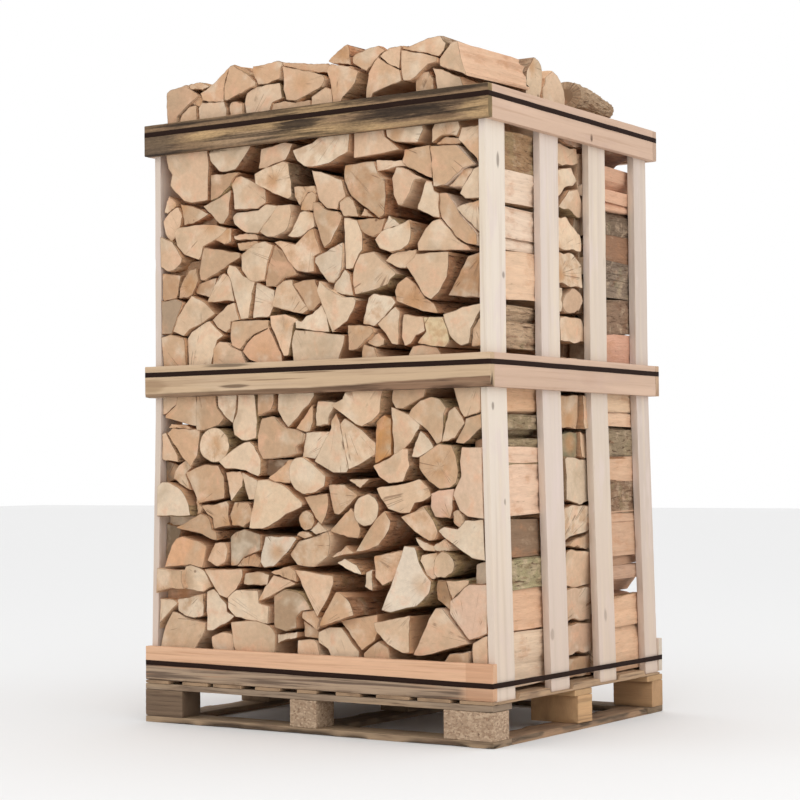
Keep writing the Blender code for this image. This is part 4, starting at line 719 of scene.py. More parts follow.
def cornersOf(corners):
    # The corners' places, how much the side after each one bulges, and the way to the next.
    place = np.array([c[:2] for c in corners], float)
    bulge = np.array([c[2] if len(c) > 2 else 0.0 for c in corners])
    return place, bulge, np.roll(place, -1, 0) - place


def outlineOf(corners, s, dice):
    # A closed outline through the corners. A side with a bulge is the parabola that stands out by it
    # in its middle. Points are even along the outline, with the nearest one put on each corner.
    place, bulge, ahead = cornersOf(corners)
    outward = np.stack((ahead[:, 1], -ahead[:, 0]), 1) / np.linalg.norm(ahead, axis=1)[:, None]
    t = np.linspace(0, 1, 16, endpoint=False)
    line = (place[:, None] + ahead[:, None] * t[:, None]
            + outward[:, None] * (bulge[:, None] * 4 * t * (1 - t))[..., None]).reshape(-1, 2)
    run = runOf(line, True)
    line = np.concatenate((line, line[:1]))
    count = s["around"]
    stops = np.arange(count) / count * run[-1]
    atCorner = run[:-1].reshape(-1, len(t))[:, 0]
    stops[np.round(atCorner / run[-1] * count).astype(int) % count] = atCorner
    stops = np.sort(stops)
    points = np.stack([np.interp(stops, run, line[:, k]) for k in (0, 1)], 1)
    side = np.searchsorted(atCorner, stops, side="right") - 1
    pull = s["roundCorner"]
    points = (1 - pull) * points + pull / 2 * (np.roll(points, 1, 0) + np.roll(points, -1, 0))
    normal = outwards(points)
    points += normal * (s["rough"] * smoothNoise(dice, (count,), 1) - s["shrink"])[:, None]
    return points, normal, side, run[-1]


barkSigns = {"bend": (3, 40), "bulge": 5, "sure": 10}    # degrees between sides, millimetres out


def roundSides(corners, share, dice):
    # Sides that bulge or turn only a little from one to the next once lay under the bark. A share
    # of the logs keeps it there, and every side that bulges a lot has it.
    _, bulge, ahead = cornersOf(corners)
    angle = np.arctan2(ahead[:, 1], ahead[:, 0])
    bend = np.degrees((angle - np.roll(angle, 1) + np.pi) % (2 * np.pi) - np.pi)
    least, most = barkSigns["bend"]
    soft = (bend > least) & (bend < most)
    sides = (bulge >= barkSigns["bulge"]) | ((soft | np.roll(soft, -1)) & (bulge >= 0))
    return sides & (dice.random() < share) | (bulge >= barkSigns["sure"])


heartPlace = {
    "whole": 0.85, "wobble": 4,      # share of bark that makes it a round log, and how far it strays
    "none": 0.1, "away": (30, 90),   # share of bark below which the heart lies outside the log
    "beyond": (-0.05, 0.25),         # how far past the far side it lies, by the log's size
}


def heartOf(points, bark, dice):
    # The heart of the tree: the middle of a round log, else the point furthest from its bark.
    middle = points.mean(0)
    if bark.mean() > heartPlace["whole"]:
        return middle + dice.normal(0, heartPlace["wobble"], 2)
    if bark.mean() < heartPlace["none"]:
        turn = dice.uniform(0, 2 * np.pi)
        return middle + np.array((np.cos(turn), np.sin(turn))) * dice.uniform(*heartPlace["away"])
    rim = points[bark].mean(0)
    far = points[np.argmax(np.linalg.norm(points - rim, axis=1))]
    return far + (far - rim) * dice.uniform(*heartPlace["beyond"])


def seenCentre(points):
    # Of a grid of 11 by 11 places in an outline, the one furthest inside all of its sides.
    low, high = points.min(0), points.max(0)
    grid = np.stack(np.meshgrid(*[np.linspace(low[k], high[k], 13)[1:-1] for k in (0, 1)]), -1)
    grid = grid.reshape(-1, 2)
    ahead = np.roll(points, -1, 0) - points
    ahead = ahead / (np.linalg.norm(ahead, axis=1)[:, None] + 1e-9)
    gap = grid[:, None] - points[None]
    inside = ahead[None, :, 0] * gap[..., 1] - ahead[None, :, 1] * gap[..., 0]
    return grid[np.argmax(inside.min(1))]


def logOutlines(rows, s, dice):
    # The outline of every log, its normals, which corners have bark, the length round it, where the
    # tree's heart is, and the centre that the end's rings shrink to.
    logs = {key: [] for key in ("outline", "normal", "bark", "round", "heart", "centre")}
    for row in rows:
        points, normal, side, run = outlineOf(row[1:], s, dice)
        bark = roundSides(row[1:], s["round"], dice)[side]
        found = (points, normal, bark, run, heartOf(points, bark, dice), seenCentre(points))
        for key, value in zip(logs, found):
            logs[key].append(value)
    return {key: np.array(values) for key, values in logs.items()}


def logTones(logs, s, seed, dice, looks, flank):
    # A tone for each log's end, side and bark, how worn it is and how much longer than others. looks
    # changes the logs nearest to given places. flank changes the outermost logs at one side by
    # height: the side (1 or -1), then (low, high, tone, whether it is bark) for each stretch.
    outline, normal, bark = logs["outline"], logs["normal"], logs["bark"]
    total = len(outline)
    way, bands = flank
    outer = (outline[..., 0] * way).max(1) > s["outer"]
    low = (np.random.default_rng(seed + s["barkedSeed"]).random(total) < s["barked"]) & ~outer
    towards, near = s["lowRight"]
    bark |= low[:, None] & (normal @ np.array(towards) > near)
    tones = {kind: pickTones(dice, choices, total)
             for kind, choices in (("end", endTones), ("side", sideTones), ("bark", barkTones))}
    tones["end"] += (np.array(s["warmTone"]) - tones["end"]) * s["warm"]
    tones["worn"], tones["longer"] = dice.random(total), np.zeros(total)
    for spot, change in looks:
        i = np.argmin(np.linalg.norm(outline.mean(1) - np.array(spot), axis=1))
        for kind in tones.keys() & change.keys():
            tones[kind][i] = change[kind]
        if "barkSides" in change:
            bark[i] = normal[i] @ np.array(change["barkSides"]) > s["faces"]["look"]
        if "bare" in change:
            bark[i] = False
    height = outline[..., 1].mean(1)
    for low, high, tone, barked in bands:
        chosen = outer & (height >= low) & (height < high)
        tones["bark" if barked else "side"][chosen] = tone
        near = s["faces"]["bark" if barked else "split"]
        bark[chosen[:, None] & (normal[..., 0] * way > near)] = barked
    return tones


def logRings(logs, s, dice, depths):
    # Rings of each log from its end's centre out to the rim, along the sides and to the other end,
    # with how far along the log each one lies. Grooves grow over the first stretch, and the log
    # gets thinner, twists and drifts aside in proportion to the way along it.
    outline, normal, bark = logs["outline"], logs["normal"], logs["bark"]
    total, count = bark.shape
    centre, chamfer = logs["centre"][:, None], s["chamfer"]
    radius = np.linalg.norm(outline - centre, axis=2)
    inward = (outline - centre) / radius[..., None]
    lean = np.clip(dice.normal(0, s["tilt"], (total, 2)), -s["mostTilt"], s["mostTilt"])
    length = dice.uniform(*s["length"], total) + logs["longer"]
    twist = dice.normal(0, s["twist"], total)
    drift = dice.normal(0, 1, (total, 2)) * s["drift"]
    thick, most = s["barkThick"]
    sizes = [radius * share for share in s["endRings"]]
    sizes += [radius - np.minimum(thick, radius * most), radius - chamfer * s["lip"]]
    rings = [centre + inward * size[..., None] for size in sizes]
    where = [np.zeros(total)] * len(sizes)
    grooves = sum(smoothNoise(dice, (total, count), reach) * share
                  for reach, share in zip((0, 2), s["grooves"]))
    for t in (chamfer, *depths):
        grow, along = min(t / s["deepFrom"], 1), t / s["usual"]
        local = smoothNoise(dice, (total, count), 1) * np.where(bark, *s["lumps"])
        swell = (grooves * grow + local * grow) * s["fibre"] * (1 + along)
        shape = outline + normal * (swell - s["taper"] * along - s["sink"] * grow)[..., None]
        shape = turned(shape - centre, (twist * along)[:, None])
        rings.append(shape + centre + (drift * along)[:, None])
        where.append(np.full(total, float(t)))
    rear = rings[-1] + (rings[-1].mean(1, keepdims=True) - rings[-1]) * s["blunt"]
    rings += [rear, rear, np.broadcast_to(rear.mean(1, keepdims=True), rear.shape)]
    where += [length - chamfer, length, length]
    shapes, where = np.stack(rings, 1), np.stack(where, 1)
    shapes[:, -2] += (shapes[:, -1] - shapes[:, -2]) * s["blunt"]
    depth = np.broadcast_to(where[..., None], shapes.shape[:3]).copy()
    slope = ((shapes - centre[:, None]) * lean[:, None, None]).sum(-1)
    depth += slope * np.clip(1 - depth / s["tiltReach"], 0, 1)
    wobble = smoothNoise(dice, (total, len(sizes), count), 2) * s["wobble"]
    depth[:, 1:len(sizes)] += wobble[:, 1:]
    return shapes, where, depth


def logStack(rows, s, seed, looks=(), depths=(14, 45, 110, 210), flank=(1, ())):
    # Surfaces of many logs at once, seen from their sawn ends: the first parameter runs through the
    # rings, the second round the log. Returned fronts grow away from the viewer; across holds the
    # two places seen from there.
    dice = np.random.default_rng(seed)
    logs = logOutlines(rows, s, dice)
    tones = logTones(logs, s, seed, dice, looks, flank)
    outline, bark = logs["outline"], logs["bark"]
    if s["inside"]:
        more = s["lean"] * np.maximum(0, slatLean["bend"] - outline[..., 1])
        left, right = s["inside"]
        outline[..., 0] = np.clip(outline[..., 0], -left - more, right + more)
    shapes, where, depth = logRings(dict(logs, longer=tones["longer"]), s, dice, depths)
    total, rings, count = depth.shape
    shapes[..., 1] = np.clip(shapes[..., 1], s["lowest"], s["highest"])
    out = np.array([row[0] for row in rows], float)
    lip = len(s["endRings"]) + 1            # the last ring of the sawn end
    kinds = np.zeros((total, rings - 1, count), int)
    kinds[:, lip:-2] = np.where(bark & np.roll(bark, -1, 1), 2, 1)[:, None]
    turn = dice.uniform(0, 2 * np.pi, total)[:, None, None]
    capMap = turned(shapes - logs["heart"][:, None, None], turn)
    sideMap = np.zeros((total, rings, count + 1, 2))
    sideMap[..., 0] = (np.linspace(0, 1, count + 1) * logs["round"][:, None])[:, None]
    sideMap[..., 0] += dice.uniform(0, s["mapSpread"], total)[:, None, None]
    sideMap[..., 1] = where[..., None] + dice.uniform(0, s["mapSpread"], total)[:, None, None]
    start, reach = s["sideShadeReach"]
    rim = np.zeros((total, rings, count, 3))     # dark rim and painted shade beside the ends, bark, wear
    # Channel 0 is painted shade: 1 on the rim of the end, and a share that fades inwards on the sides close
    # to the end.
    rim[:, lip, :, 0] = 1
    rim[:, lip + 1:-3, :, 0] = (s["sideShadeNearEnd"] * np.clip(start - where[0, lip + 1:-3] / reach, 0, 1))[:, None]
    rim[:, lip:-2, :, 1] = bark[:, None]
    rim[..., 2] = tones["worn"][:, None, None]
    marks = {kind + "Tone": np.broadcast_to(tones[kind][:, None, None], rim.shape)
             for kind in ("end", "side", "bark")}
    return {"across": shapes, "front": depth - out[:, None, None], "kinds": kinds, "capMap": capMap,
            "sideMap": sideMap, "tones": dict(marks, rim=rim)}


def towardsFront(stack, s, way=-1):
    # Places a stack of lengthwise logs: way is -1 for ends at the front and 1 at the back. No end
    # stands further out than its limit, which is tighter behind the rails.
    a, z = stack["across"][..., 0], stack["across"][..., 1]
    behind = np.zeros(z.shape, bool)
    for low, high in s["railBands"]:
        behind |= (z > low - s["railClear"]) & (z < high + s["railClear"])
    y = np.minimum(s["plane"] - stack["front"], np.where(behind, s["behindRail"], s["mostForward"]))
    return np.stack((-way * a, way * y, z), -1)

# In the looks of a material, a stain is where a noise starts and ends to show it, its most, and its
# tone. Noises are given by scale, detail, roughness and warp, and those that run along the wood by
# how often they repeat in a metre across and along, then the same.
knotTone = shade(112, 76, 52)

endLooks = {
    "ringWide": 3.4,                                # millimetres between growth rings
    "ringDark": 0.05, "ringFade": (18, 2), "ringWander": (28, 2), "wander": 0.012,
    "saw": (40, 700, 3, 0.6), "sawDark": 0.18,      # saw lines, and how much they change the light
    "patch": (17, 4, 0.55, 0.6), "patchDark": 0.32,
    "mottle": (75, 4, 0.6), "mottleDark": 0.3,
    "ray": (8, 22), "rayDark": 0.15,                # how often rays repeat round the heart and outwards
    "fine": (420, 3, 0.6), "fineDark": 0.2,
    "heart": shade(206, 154, 106), "heartReach": (0.05, 0.012), "heartWorn": (0.25, 0.7, (0.15, 0.75)),
    "pink": (0.5, 0.7, 0.6, shade(228, 178, 144)),
    "pale": (0.5, 0.68, 0.45, shade(244, 226, 200)), "paleCloud": (13, 3),
    "grey": (0.52, 0.7, 0.5, shade(198, 170, 138)), "greyCloud": (10, 3, 0.5, 0.4),
    "worn": (0.42, 0.66, shade(196, 146, 102)), "wornCloud": (30, 4, 0.6),
    "wornFrom": (0.7, 1.0, (0, 0.55)),              # only on logs that are worn this much
    "checkTurns": (2.4, 30, 1.6), "checkAt": 0.56, "checkWide": (0.012, 0.003),
    "checkReach": (0.5, 0.6), "checkCloud": (22, 1), "checkWorn": (0.3, 0.6),
    "checkDark": 0.6, "crack": shade(120, 84, 58),
    "knots": (14.0, 0.86, 0.085, 0.04), "knotDark": 0.75,   # cells in a metre, rarity, rim, core
    # The rim of an end is darker: bark adds 0.45, and 0.34 on every rim is a painted shade line.
    "edge": (0.3, 1.0), "edgeBarkAndShade": (0.45, 0.34), "barkAndShadeEdge": shade(112, 82, 58),
    "bump": (0.7, 0.0016), "heights": (0.7, 0.5, 1.2),      # heights of saw lines, fine and patches
}


def knotCells(r, place, scale, rare, rim, core):
    # Round knots in a few of many cells: 1 within core of a cell's middle, 0 past rim.
    colour, far = r.cells(place, scale)
    return r.times(r.ramp(colour[0], rare, rare + 0.02), r.ramp(far, rim, core))


def endWood(s):
    # Sawn end: rings by distance from the heart, which is browner, saw lines, faint rays, soft pink,
    # pale and grey patches, a few checks that run out from the heart, knots, and a dark rim of bark and
    # painted shade.
    r = Recipe("endWood")
    rim, barked, worn = r.parts(r.mark("rim"))
    flat = r.pattern()
    far = r.plus(r.length(flat), r.times(r.cloud(*s["ringWander"]), s["wander"]))
    rings = r.sums("SINE", r.times(far, 2 * math.pi / (s["ringWide"] * mm)))
    rings = r.times(rings, r.cloud(*s["ringFade"]))
    saw, patch, fine = r.grain(*s["saw"]), r.cloud(*s["patch"]), r.cloud(*s["fine"])
    x, y, _ = r.axes(flat)
    bearing = r.sums("ARCTAN2", y, x)
    ray = r.joined(r.times(bearing, s["ray"][0]), r.times(far, s["ray"][1]), worn)
    light = r.sums("MULTIPLY_ADD", rings, s["ringDark"], 1.0)
    for value, dark in ((saw, "sawDark"), (patch, "patchDark"), (r.cloud(*s["mottle"]), "mottleDark"),
                        (r.noise(ray, 1.0, 3, 0.6), "rayDark"), (fine, "fineDark")):
        light = r.swing(value, s[dark], light)
    inner = r.times(r.ramp(far, *s["heartReach"]), r.ramp(worn, *s["heartWorn"]))
    colour = r.mix(inner, r.mark("endTone"), s["heart"])
    colour = r.stain(colour, patch, *s["pink"])
    colour = r.stain(colour, r.cloud(*s["paleCloud"]), *s["pale"])
    colour = r.stain(colour, r.cloud(*s["greyCloud"]), *s["grey"])
    low, high, tone = s["worn"]
    stained = r.times(r.ramp(worn, *s["wornFrom"]), r.ramp(r.cloud(*s["wornCloud"]), low, high))
    colour = r.mix(stained, colour, tone)
    about, out, scale = s["checkTurns"]
    spokes = r.noise(r.joined(r.times(bearing, about), r.times(worn, out)), scale, 2)
    line = r.ramp(r.sums("ABSOLUTE", r.sums("SUBTRACT", spokes, s["checkAt"])), *s["checkWide"])
    reach = r.ramp(r.cloud(*s["checkCloud"]), *s["checkReach"])
    check = r.times(r.times(line, reach), r.ramp(worn, *s["checkWorn"]))
    colour = r.mix(r.times(check, s["checkDark"]), colour, s["crack"])
    knot = knotCells(r, r.space(), *s["knots"])
    colour = r.lit(r.mix(r.times(knot, s["knotDark"]), colour, knotTone), light)
    # Dark rim: bark where the side has bark, and a thin painted shade line on every rim.
    edge = r.times(r.ramp(rim, *s["edge"]), r.sums("MULTIPLY_ADD", barked, *s["edgeBarkAndShade"]))
    colour = r.mix(edge, colour, s["barkAndShadeEdge"])
    height = [r.times(value, gain) for value, gain in zip((saw, fine, patch), s["heights"])]
    height = r.plus(r.plus(*height[:2]), height[2])
    r.bump(r.sums("SUBTRACT", height, r.plus(check, knot)), *s["bump"])
    return r.finish(colour, 0.78)


sideShadeRamp = (0.0, 1.0, (1.0, 0.25))      # how dark the painted shade beside the sawn ends makes the sides

splitLooks = {
    "streak": (60, 4, 4, 0.6, 0.5), "streakDark": 0.36,
    "torn": (120, 20, 4, 0.65, 0.8), "tornDark": 0.34,
    "fibre": (600, 14, 3, 0.65), "fibreDark": 0.28, "light": 1.04,
    "patch": (24, 12, 4, 0.6),
    "brown": (0.5, 0.74, 0.5, shade(206, 146, 104)), "pale": (0.46, 0.28, 0.28, shade(238, 208, 174)),
    "dark": (0.36, 0.24, 0.45, shade(150, 110, 80)), "crack": (0.36, 0.27, 0.45, shade(116, 80, 56)),
    "knotStretch": (16, 7, 1), "knots": (1.0, 0.8, 0.2, 0.06), "knotDark": 0.8,
    "heights": (0.5, 0.8), "bump": (0.9, 0.004), "rough": 0.82,
}


def splitWood(s):
    # Split side: long fibres and grooves down the log, browner and paler streaks, cracks, knots, and
    # painted shade next to the sawn end.
    r = Recipe("splitWood")
    streak, torn, fibre, patch = (r.grain(*s[key]) for key in ("streak", "torn", "fibre", "patch"))
    light = r.swing(streak, s["streakDark"], s["light"])
    light = r.swing(fibre, s["fibreDark"], r.swing(torn, s["tornDark"], light))
    colour = r.stain(r.mark("sideTone"), patch, *s["brown"])
    colour = r.stain(colour, patch, *s["pale"])
    colour = r.stain(colour, streak, *s["dark"])
    colour = r.stain(colour, torn, *s["crack"])
    knot = knotCells(r, r.pattern(s["knotStretch"]), *s["knots"])
    colour = r.mix(r.times(knot, s["knotDark"]), colour, knotTone)
    # Painted shade: the side is darker close to the sawn end.
    colour = r.lit(colour, r.times(light, r.ramp(r.parts(r.mark("rim"))[0], *sideShadeRamp)))
    fine, deep = s["heights"]
    r.bump(r.sums("MULTIPLY_ADD", torn, deep, r.plus(streak, r.times(fibre, fine))), *s["bump"])
    return r.finish(colour, s["rough"])


barkLooks = {
    "ridge": (130, 22, 5, 0.6, 0.7), "ridgeDark": 1.5, "rough": (260, 4, 0.7), "roughDark": 1.2,
    "broad": (34, 10, 4, 0.6, 0.4), "light": 1.22,
    "pale": (0.5, 0.66, 0.5, shade(204, 178, 150)), "paleCloud": (24, 4, 0.6),
    "brown": (0.46, 0.32, 0.65, shade(124, 86, 62)),
    "moss": (0.56, 0.7, 0.3, shade(150, 142, 104)), "mossCloud": (15, 3),
    "furrow": (0.42, 0.32, 0.75, shade(92, 62, 46)),
    "heights": (1.6, 0.5), "bump": (1.0, 0.005), "finish": (0.9, 0.15),
}


def barkSkin(s):
    # Bark: ridges and furrows along the log, pale, mossy and brown patches, darker in the furrows, and
    # painted shade next to the sawn end.
    r = Recipe("barkSkin")
    ridge, broad, rough = r.grain(*s["ridge"]), r.grain(*s["broad"]), r.cloud(*s["rough"])
    colour = r.stain(r.mark("barkTone"), r.cloud(*s["paleCloud"]), *s["pale"])
    colour = r.stain(colour, broad, *s["brown"])
    colour = r.stain(colour, r.cloud(*s["mossCloud"]), *s["moss"])
    colour = r.stain(colour, ridge, *s["furrow"])
    light = r.swing(rough, s["roughDark"], r.swing(ridge, s["ridgeDark"], s["light"]))
    # Painted shade: the bark is darker close to the sawn end.
    colour = r.lit(colour, r.times(light, r.ramp(r.parts(r.mark("rim"))[0], *sideShadeRamp)))
    high, fine = s["heights"]
    r.bump(r.plus(r.times(ridge, high), r.times(rough, fine)), *s["bump"])
    return r.finish(colour, *s["finish"])


logSkins = [endWood(endLooks), splitWood(splitLooks), barkSkin(barkLooks)]
print("log materials ready")


# Logs by place with looks of their own. The dark ends near (-551, 730), (-547, 533) and (-148, 748) are on
# logs that stand back, and their dark tone is painted shade.
frontLooks = (
    ((230, 825), {"end": shade(212, 154, 96), "side": shade(196, 140, 90), "worn": 1.0}),
    ((-551, 730), {"end": shade(140, 118, 96)}),
    ((-547, 533), {"end": shade(140, 118, 94)}),
    ((501, 1264), {"end": shade(190, 150, 114), "worn": 1.0}),
    ((-148, 748), {"end": shade(140, 110, 84)}),
    ((-532, 1200), {"end": shade(184, 156, 128)}),
    ((-253, 517), {"end": shade(184, 158, 130)}),
    ((309, 438), {"end": shade(242, 222, 198)}),
    ((-130, 505), {"end": shade(232, 212, 188)}),
    ((-78, 343), {"end": shade(184, 152, 120)}),
    ((-136, 643), {"end": shade(236, 206, 172)}),
    ((-470, 500), {"end": shade(230, 178, 136)}),
    ((-184, 1110), {"end": shade(230, 182, 144)}),
    ((425, 646), {"end": shade(232, 190, 162)}),
    ((400, 1113), {"end": shade(234, 208, 166)}),
    ((505, 356), {"end": shade(232, 194, 166)}),
    ((515, 704), {"end": shade(234, 200, 170)}),
    ((426, 398), {"end": shade(164, 130, 98)}),
    ((79, 351), {"barkSides": (1, -0.3)}),
    ((-515, 657), {"barkSides": (0.6, -0.8)}),
    ((263, 750), {"barkSides": (1, -0.4)}),
    ((206, 569), {"barkSides": (1, -0.4)}),
    ((275, 1382), {"barkSides": (1, -0.2)}),
    ((158, 910), {"barkSides": (0.9, -0.6)}),
    ((-135, 1569), {"barkSides": (0.9, -0.5), "bark": shade(150, 124, 98)}),
)
# Looks of the right side of each row by height: low, high, tone, and whether it is bark.
frontFlank = (
    (130, 300, shade(238, 208, 178), False), (300, 410, shade(236, 190, 154), False),
    (410, 490, shade(168, 154, 118), True), (490, 600, shade(150, 120, 94), False),
    (600, 735, shade(246, 208, 178), False), (735, 870, shade(156, 136, 106), True),
    (870, 950, shade(222, 154, 106), False), (1050, 1100, shade(236, 192, 158), False),
    (1100, 1195, shade(190, 160, 130), True), (1195, 1375, shade(244, 206, 172), False),
    (1375, 1575, shade(248, 220, 194), False), (1575, 1690, shade(166, 132, 98), True),
)
backFlank = (
    (130, 200, shade(170, 140, 112), True), (200, 370, shade(238, 194, 158), False),
    (370, 490, shade(208, 168, 140), False), (490, 600, shade(220, 178, 146), False),
    (600, 700, shade(146, 116, 92), True), (700, 795, shade(230, 188, 154), False),
    (795, 865, shade(150, 130, 104), True), (865, 955, shade(242, 202, 168), False),
    (1050, 1150, shade(226, 172, 144), False), (1150, 1250, shade(146, 118, 96), True),
    (1250, 1350, shade(142, 122, 104), True), (1350, 1430, shade(158, 118, 90), False),
    (1430, 1500, shade(124, 104, 86), True), (1500, 1620, shade(232, 184, 152), False),
    (1620, 1710, shade(150, 104, 76), False),
)

# Small pieces set back in the widest gaps at both sides, so that no light comes through there.
gapLogs = readLogs("""
-38: -586 582, -505 576, -432 600, -430 612, -586 612
-38: -588 360, -508 356, -404 376, -400 392, -470 400, -588 384
-38: -560 1322, -430 1330, -425 1366, -480 1362, -556 1345
-38: -500 1455, -380 1460, -378 1490, -490 1478
-38: -580 1300, -470 1296, -450 1340, -500 1362, -578 1350
-45: 500 412, 572 409 6, 572 486 6, 504 482
-45: 500 744, 572 748 8, 572 822 4, 504 818
""")

print("placing the front row")
frontRows = stackedLogs + gapLogs
frontStack = logStack(frontRows, logCut, 11, frontLooks, flank=(1, frontFlank))


def pickLogs(stack, chosen):
    # The surfaces of some logs out of a stack.
    part = {k: stack[k][chosen] for k in ("across", "front", "kinds", "capMap", "sideMap")}
    part["tones"] = {k: v[chosen] for k, v in stack["tones"].items()}
    return part


def logPiece(name, node, stack, points, skins=None):
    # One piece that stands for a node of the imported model.
    piece = tubeMesh(name, points, stack["kinds"], stack["capMap"], stack["sideMap"], stack["tones"],
                     skins or logSkins)
    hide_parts(node)


logPiece("front_row_logs", "front_row", frontStack, towardsFront(frontStack, logCut))
print("front row:", len(stackedLogs), "logs")

looseLogs = (6, 9, 11, 15, 16, 20, 21)      # these lie loose on top, each a piece of its own
heapCut = dict(logCut, around=60, fibre=1.6, tilt=0.04, sideShadeNearEnd=0.0, warm=0.5, barked=0)
heapLooks = (
    ((-490, 1830), {"end": shade(216, 176, 142)}),
    ((110, 1830), {"barkSides": (1, -0.4)}),
    ((95, 1907), {"barkSides": (1, 0.5)}),
    ((475, 1860), {"side": shade(240, 198, 164), "bare": True, "worn": 0.2, "longer": 28}),
    ((370, 1895), {"side": shade(240, 198, 164), "bark": shade(150, 120, 94), "longer": 28,
                   "barkSides": (1, 0.5)}),
    ((-40, 1895), {"barkSides": (0, 1)}),
)

heapStack = logStack(heapLogs, heapCut, 23, heapLooks, depths=(14, 45, 90, 140, 190, 240, 290))
fixedLogs = [i for i in range(len(heapLogs)) if i not in looseLogs]
part = pickLogs(heapStack, fixedLogs)
logPiece("heap_logs", "front_row", part, towardsFront(part, heapCut))
for number, i in enumerate(looseLogs, 1):
    part = pickLogs(heapStack, [i])
    logPiece("loose_log_%d" % number, "top_log_%d" % number, part, towardsFront(part, heapCut))
print("heap:", len(heapLogs), "logs")

# Ends of the crosswise logs as seen from the right, with y in the place of x.
crossLogs = readLogs("""
0: 3 140, 145 140, 145 198, 3 200
0: -9 206, 70 203, 145 206, 145 292, 60 298, -9 288
0: -9 304, 143 298, 143 392 8, -9 390
0: -9 398, 60 396, 145 400, 145 496, 60 506, -6 500
0: 3 516, 145 506, 145 554
0: -12 526, 80 548, 145 562, 145 634, 60 636, -12 628
4: -12 650, 60 636, 138 644, 141 700, 120 762 6, -10 768
0: 88 772, 142 768, 143 843, 88 846
-10: -60 774, 82 772, 82 846, -60 842
12: 88 852, 130 852 6, 163 880 8, 160 940 4, 90 952
-10: -60 852, 82 852, 84 952, -60 948
0: -30 962, 138 962, 145 1058, -30 1060
0: -27 1104, 128 1100, 130 1140, 100 1176, -27 1176
0: 8 1212 6, 36 1190 6, 82 1194 6, 106 1226 6, 80 1256 6, 30 1254 6
-8: -60 1184, 0 1190, 2 1260, -60 1258
0: -37 1268, 98 1262, 100 1330, 60 1364, -37 1362
0: -37 1370, 98 1368, 98 1420, 20 1466, -37 1464
4: -37 1487, 60 1482 10, 150 1486, 80 1552, 20 1546
0: -46 1500, 16 1550, 78 1558, 98 1578, 60 1612, -46 1600
0: -42 1608, 60 1620, 98 1630, 98 1672, -42 1670
0: -42 1680, 50 1676, 140 1682, 140 1768, -42 1766
-12: 112 1190, 145 1186, 145 1300, 108 1298
-12: 108 1306, 145 1308, 145 1400, 106 1402
-25: 104 1408, 145 1408, 145 1474, 104 1476
-12: 104 1560, 145 1545, 145 1668, 104 1664
""")
hiddenColumn = (142, 258, 372, 486, 606, 700, 822, 940, 1052, 1151, 1280, 1400, 1508, 1630, 1766)
crossCut = dict(logCut, around=32, plane=548, railBands=(), inside=None, tilt=0.07, sideShadeNearEnd=0.2,
                rough=2.2, shrink=1.4)
crossLooks = (
    ((70, 248), {"end": shade(214, 176, 146)}), ((70, 348), {"end": shade(224, 190, 160)}),
    ((60, 1008), {"end": shade(206, 170, 142)}), ((60, 1225), {"end": shade(216, 180, 148)}),
    ((40, 1725), {"end": shade(206, 170, 142)}),
    ((11, 808), {"side": shade(120, 116, 92), "end": shade(150, 140, 110), "barkSides": (-1, 0)}),
    ((12, 900), {"side": shade(226, 172, 134)}),
    ((70, 705), {"end": shade(228, 202, 172), "side": shade(196, 164, 130)}),
)


def hiddenRows(levels):
    # The logs of the column that stands nearer to the front row, as plain split quarters between
    # two levels: how far each stands out, then its corners, which lean a little in turn.
    rows = []
    for i, (low, high) in enumerate(zip(levels[:-1], levels[1:])):
        lean = 6 * (i % 3)
        rows.append((-8 - 6 * (i % 2), (-134, low + 4), (-72 + lean, low + 6), (-66 - lean, high - 4),
                     (-110, high - 2 - lean), (-136, high - 12)))
    return rows


leftBack = 8             # how much further back the logs with their ends on the left lie
centreEnd = 197          # how far from the middle the logs between both sides end
topsDrop = 18            # how much lower the logs behind the ones on top lie


def crosswise(stack, s, way=1, start=None):
    # Places a stack of crosswise logs: way is 1 for ends on the right and -1 on the left, and
    # start is how far from the middle the ends are, where it isn't the usual plane.
    a, z = stack["across"][..., 0], stack["across"][..., 1]
    x = (s["plane"] if start is None else start) - stack["front"]
    return np.stack((way * x, way * a + (leftBack if way < 0 else 0), z), -1)


crossRows = crossLogs + hiddenRows(hiddenColumn)
crossEnd = dict(endLooks, checkReach=(0.47, 0.58), checkDark=0.65, patchDark=0.4)
crossSkins = [endWood(crossEnd)] + logSkins[1:]
rightStack = logStack(crossRows, crossCut, 31, crossLooks)
leftStack = logStack(crossRows, crossCut, 37)
middleStack = logStack(crossRows, dict(crossCut, around=20, length=(392, 394)), 41)
logPiece("middle_row_right", "middle_row", rightStack, crosswise(rightStack, crossCut), skins=crossSkins)
logPiece("middle_row_left", "middle_row", leftStack, crosswise(leftStack, crossCut, -1))
logPiece("middle_row_centre", "middle_row", middleStack, crosswise(middleStack, crossCut, 1, centreEnd))

# Crosswise logs on top of the middle row, from front to back.
crossTops = readLogs("""
0: -122 1803, -42 1801, -29 1850, -31 1889 3, -56 1915 3, -82 1917, -119 1872
0: -22 1801, 98 1797, 100 1824 2, 86 1866, 63 1888, 36 1897, -6 1870 -6, -21 1842
""")
topCut = dict(heapCut, railBands=(), inside=None, length=(290, 292), plane=500)
topLooks = (((-75, 1855), {"end": shade(236, 206, 172), "barkSides": (-0.7, 0.7),
                           "bark": shade(172, 138, 110)}),
            ((40, 1840), {"end": shade(232, 200, 168), "bare": True}))
topStack = logStack(crossTops, topCut, 43, topLooks, depths=(14, 45, 90, 140, 190, 240))
for number in (1, 2):
    part = pickLogs(topStack, [number - 1])
    logPiece("cross_top_%d" % number, "cross_log_%d" % number, part, crosswise(part, topCut))
lowTops = [(0,) + tuple((y, z - topsDrop) for y, z, *_ in row[1:]) for row in crossTops]
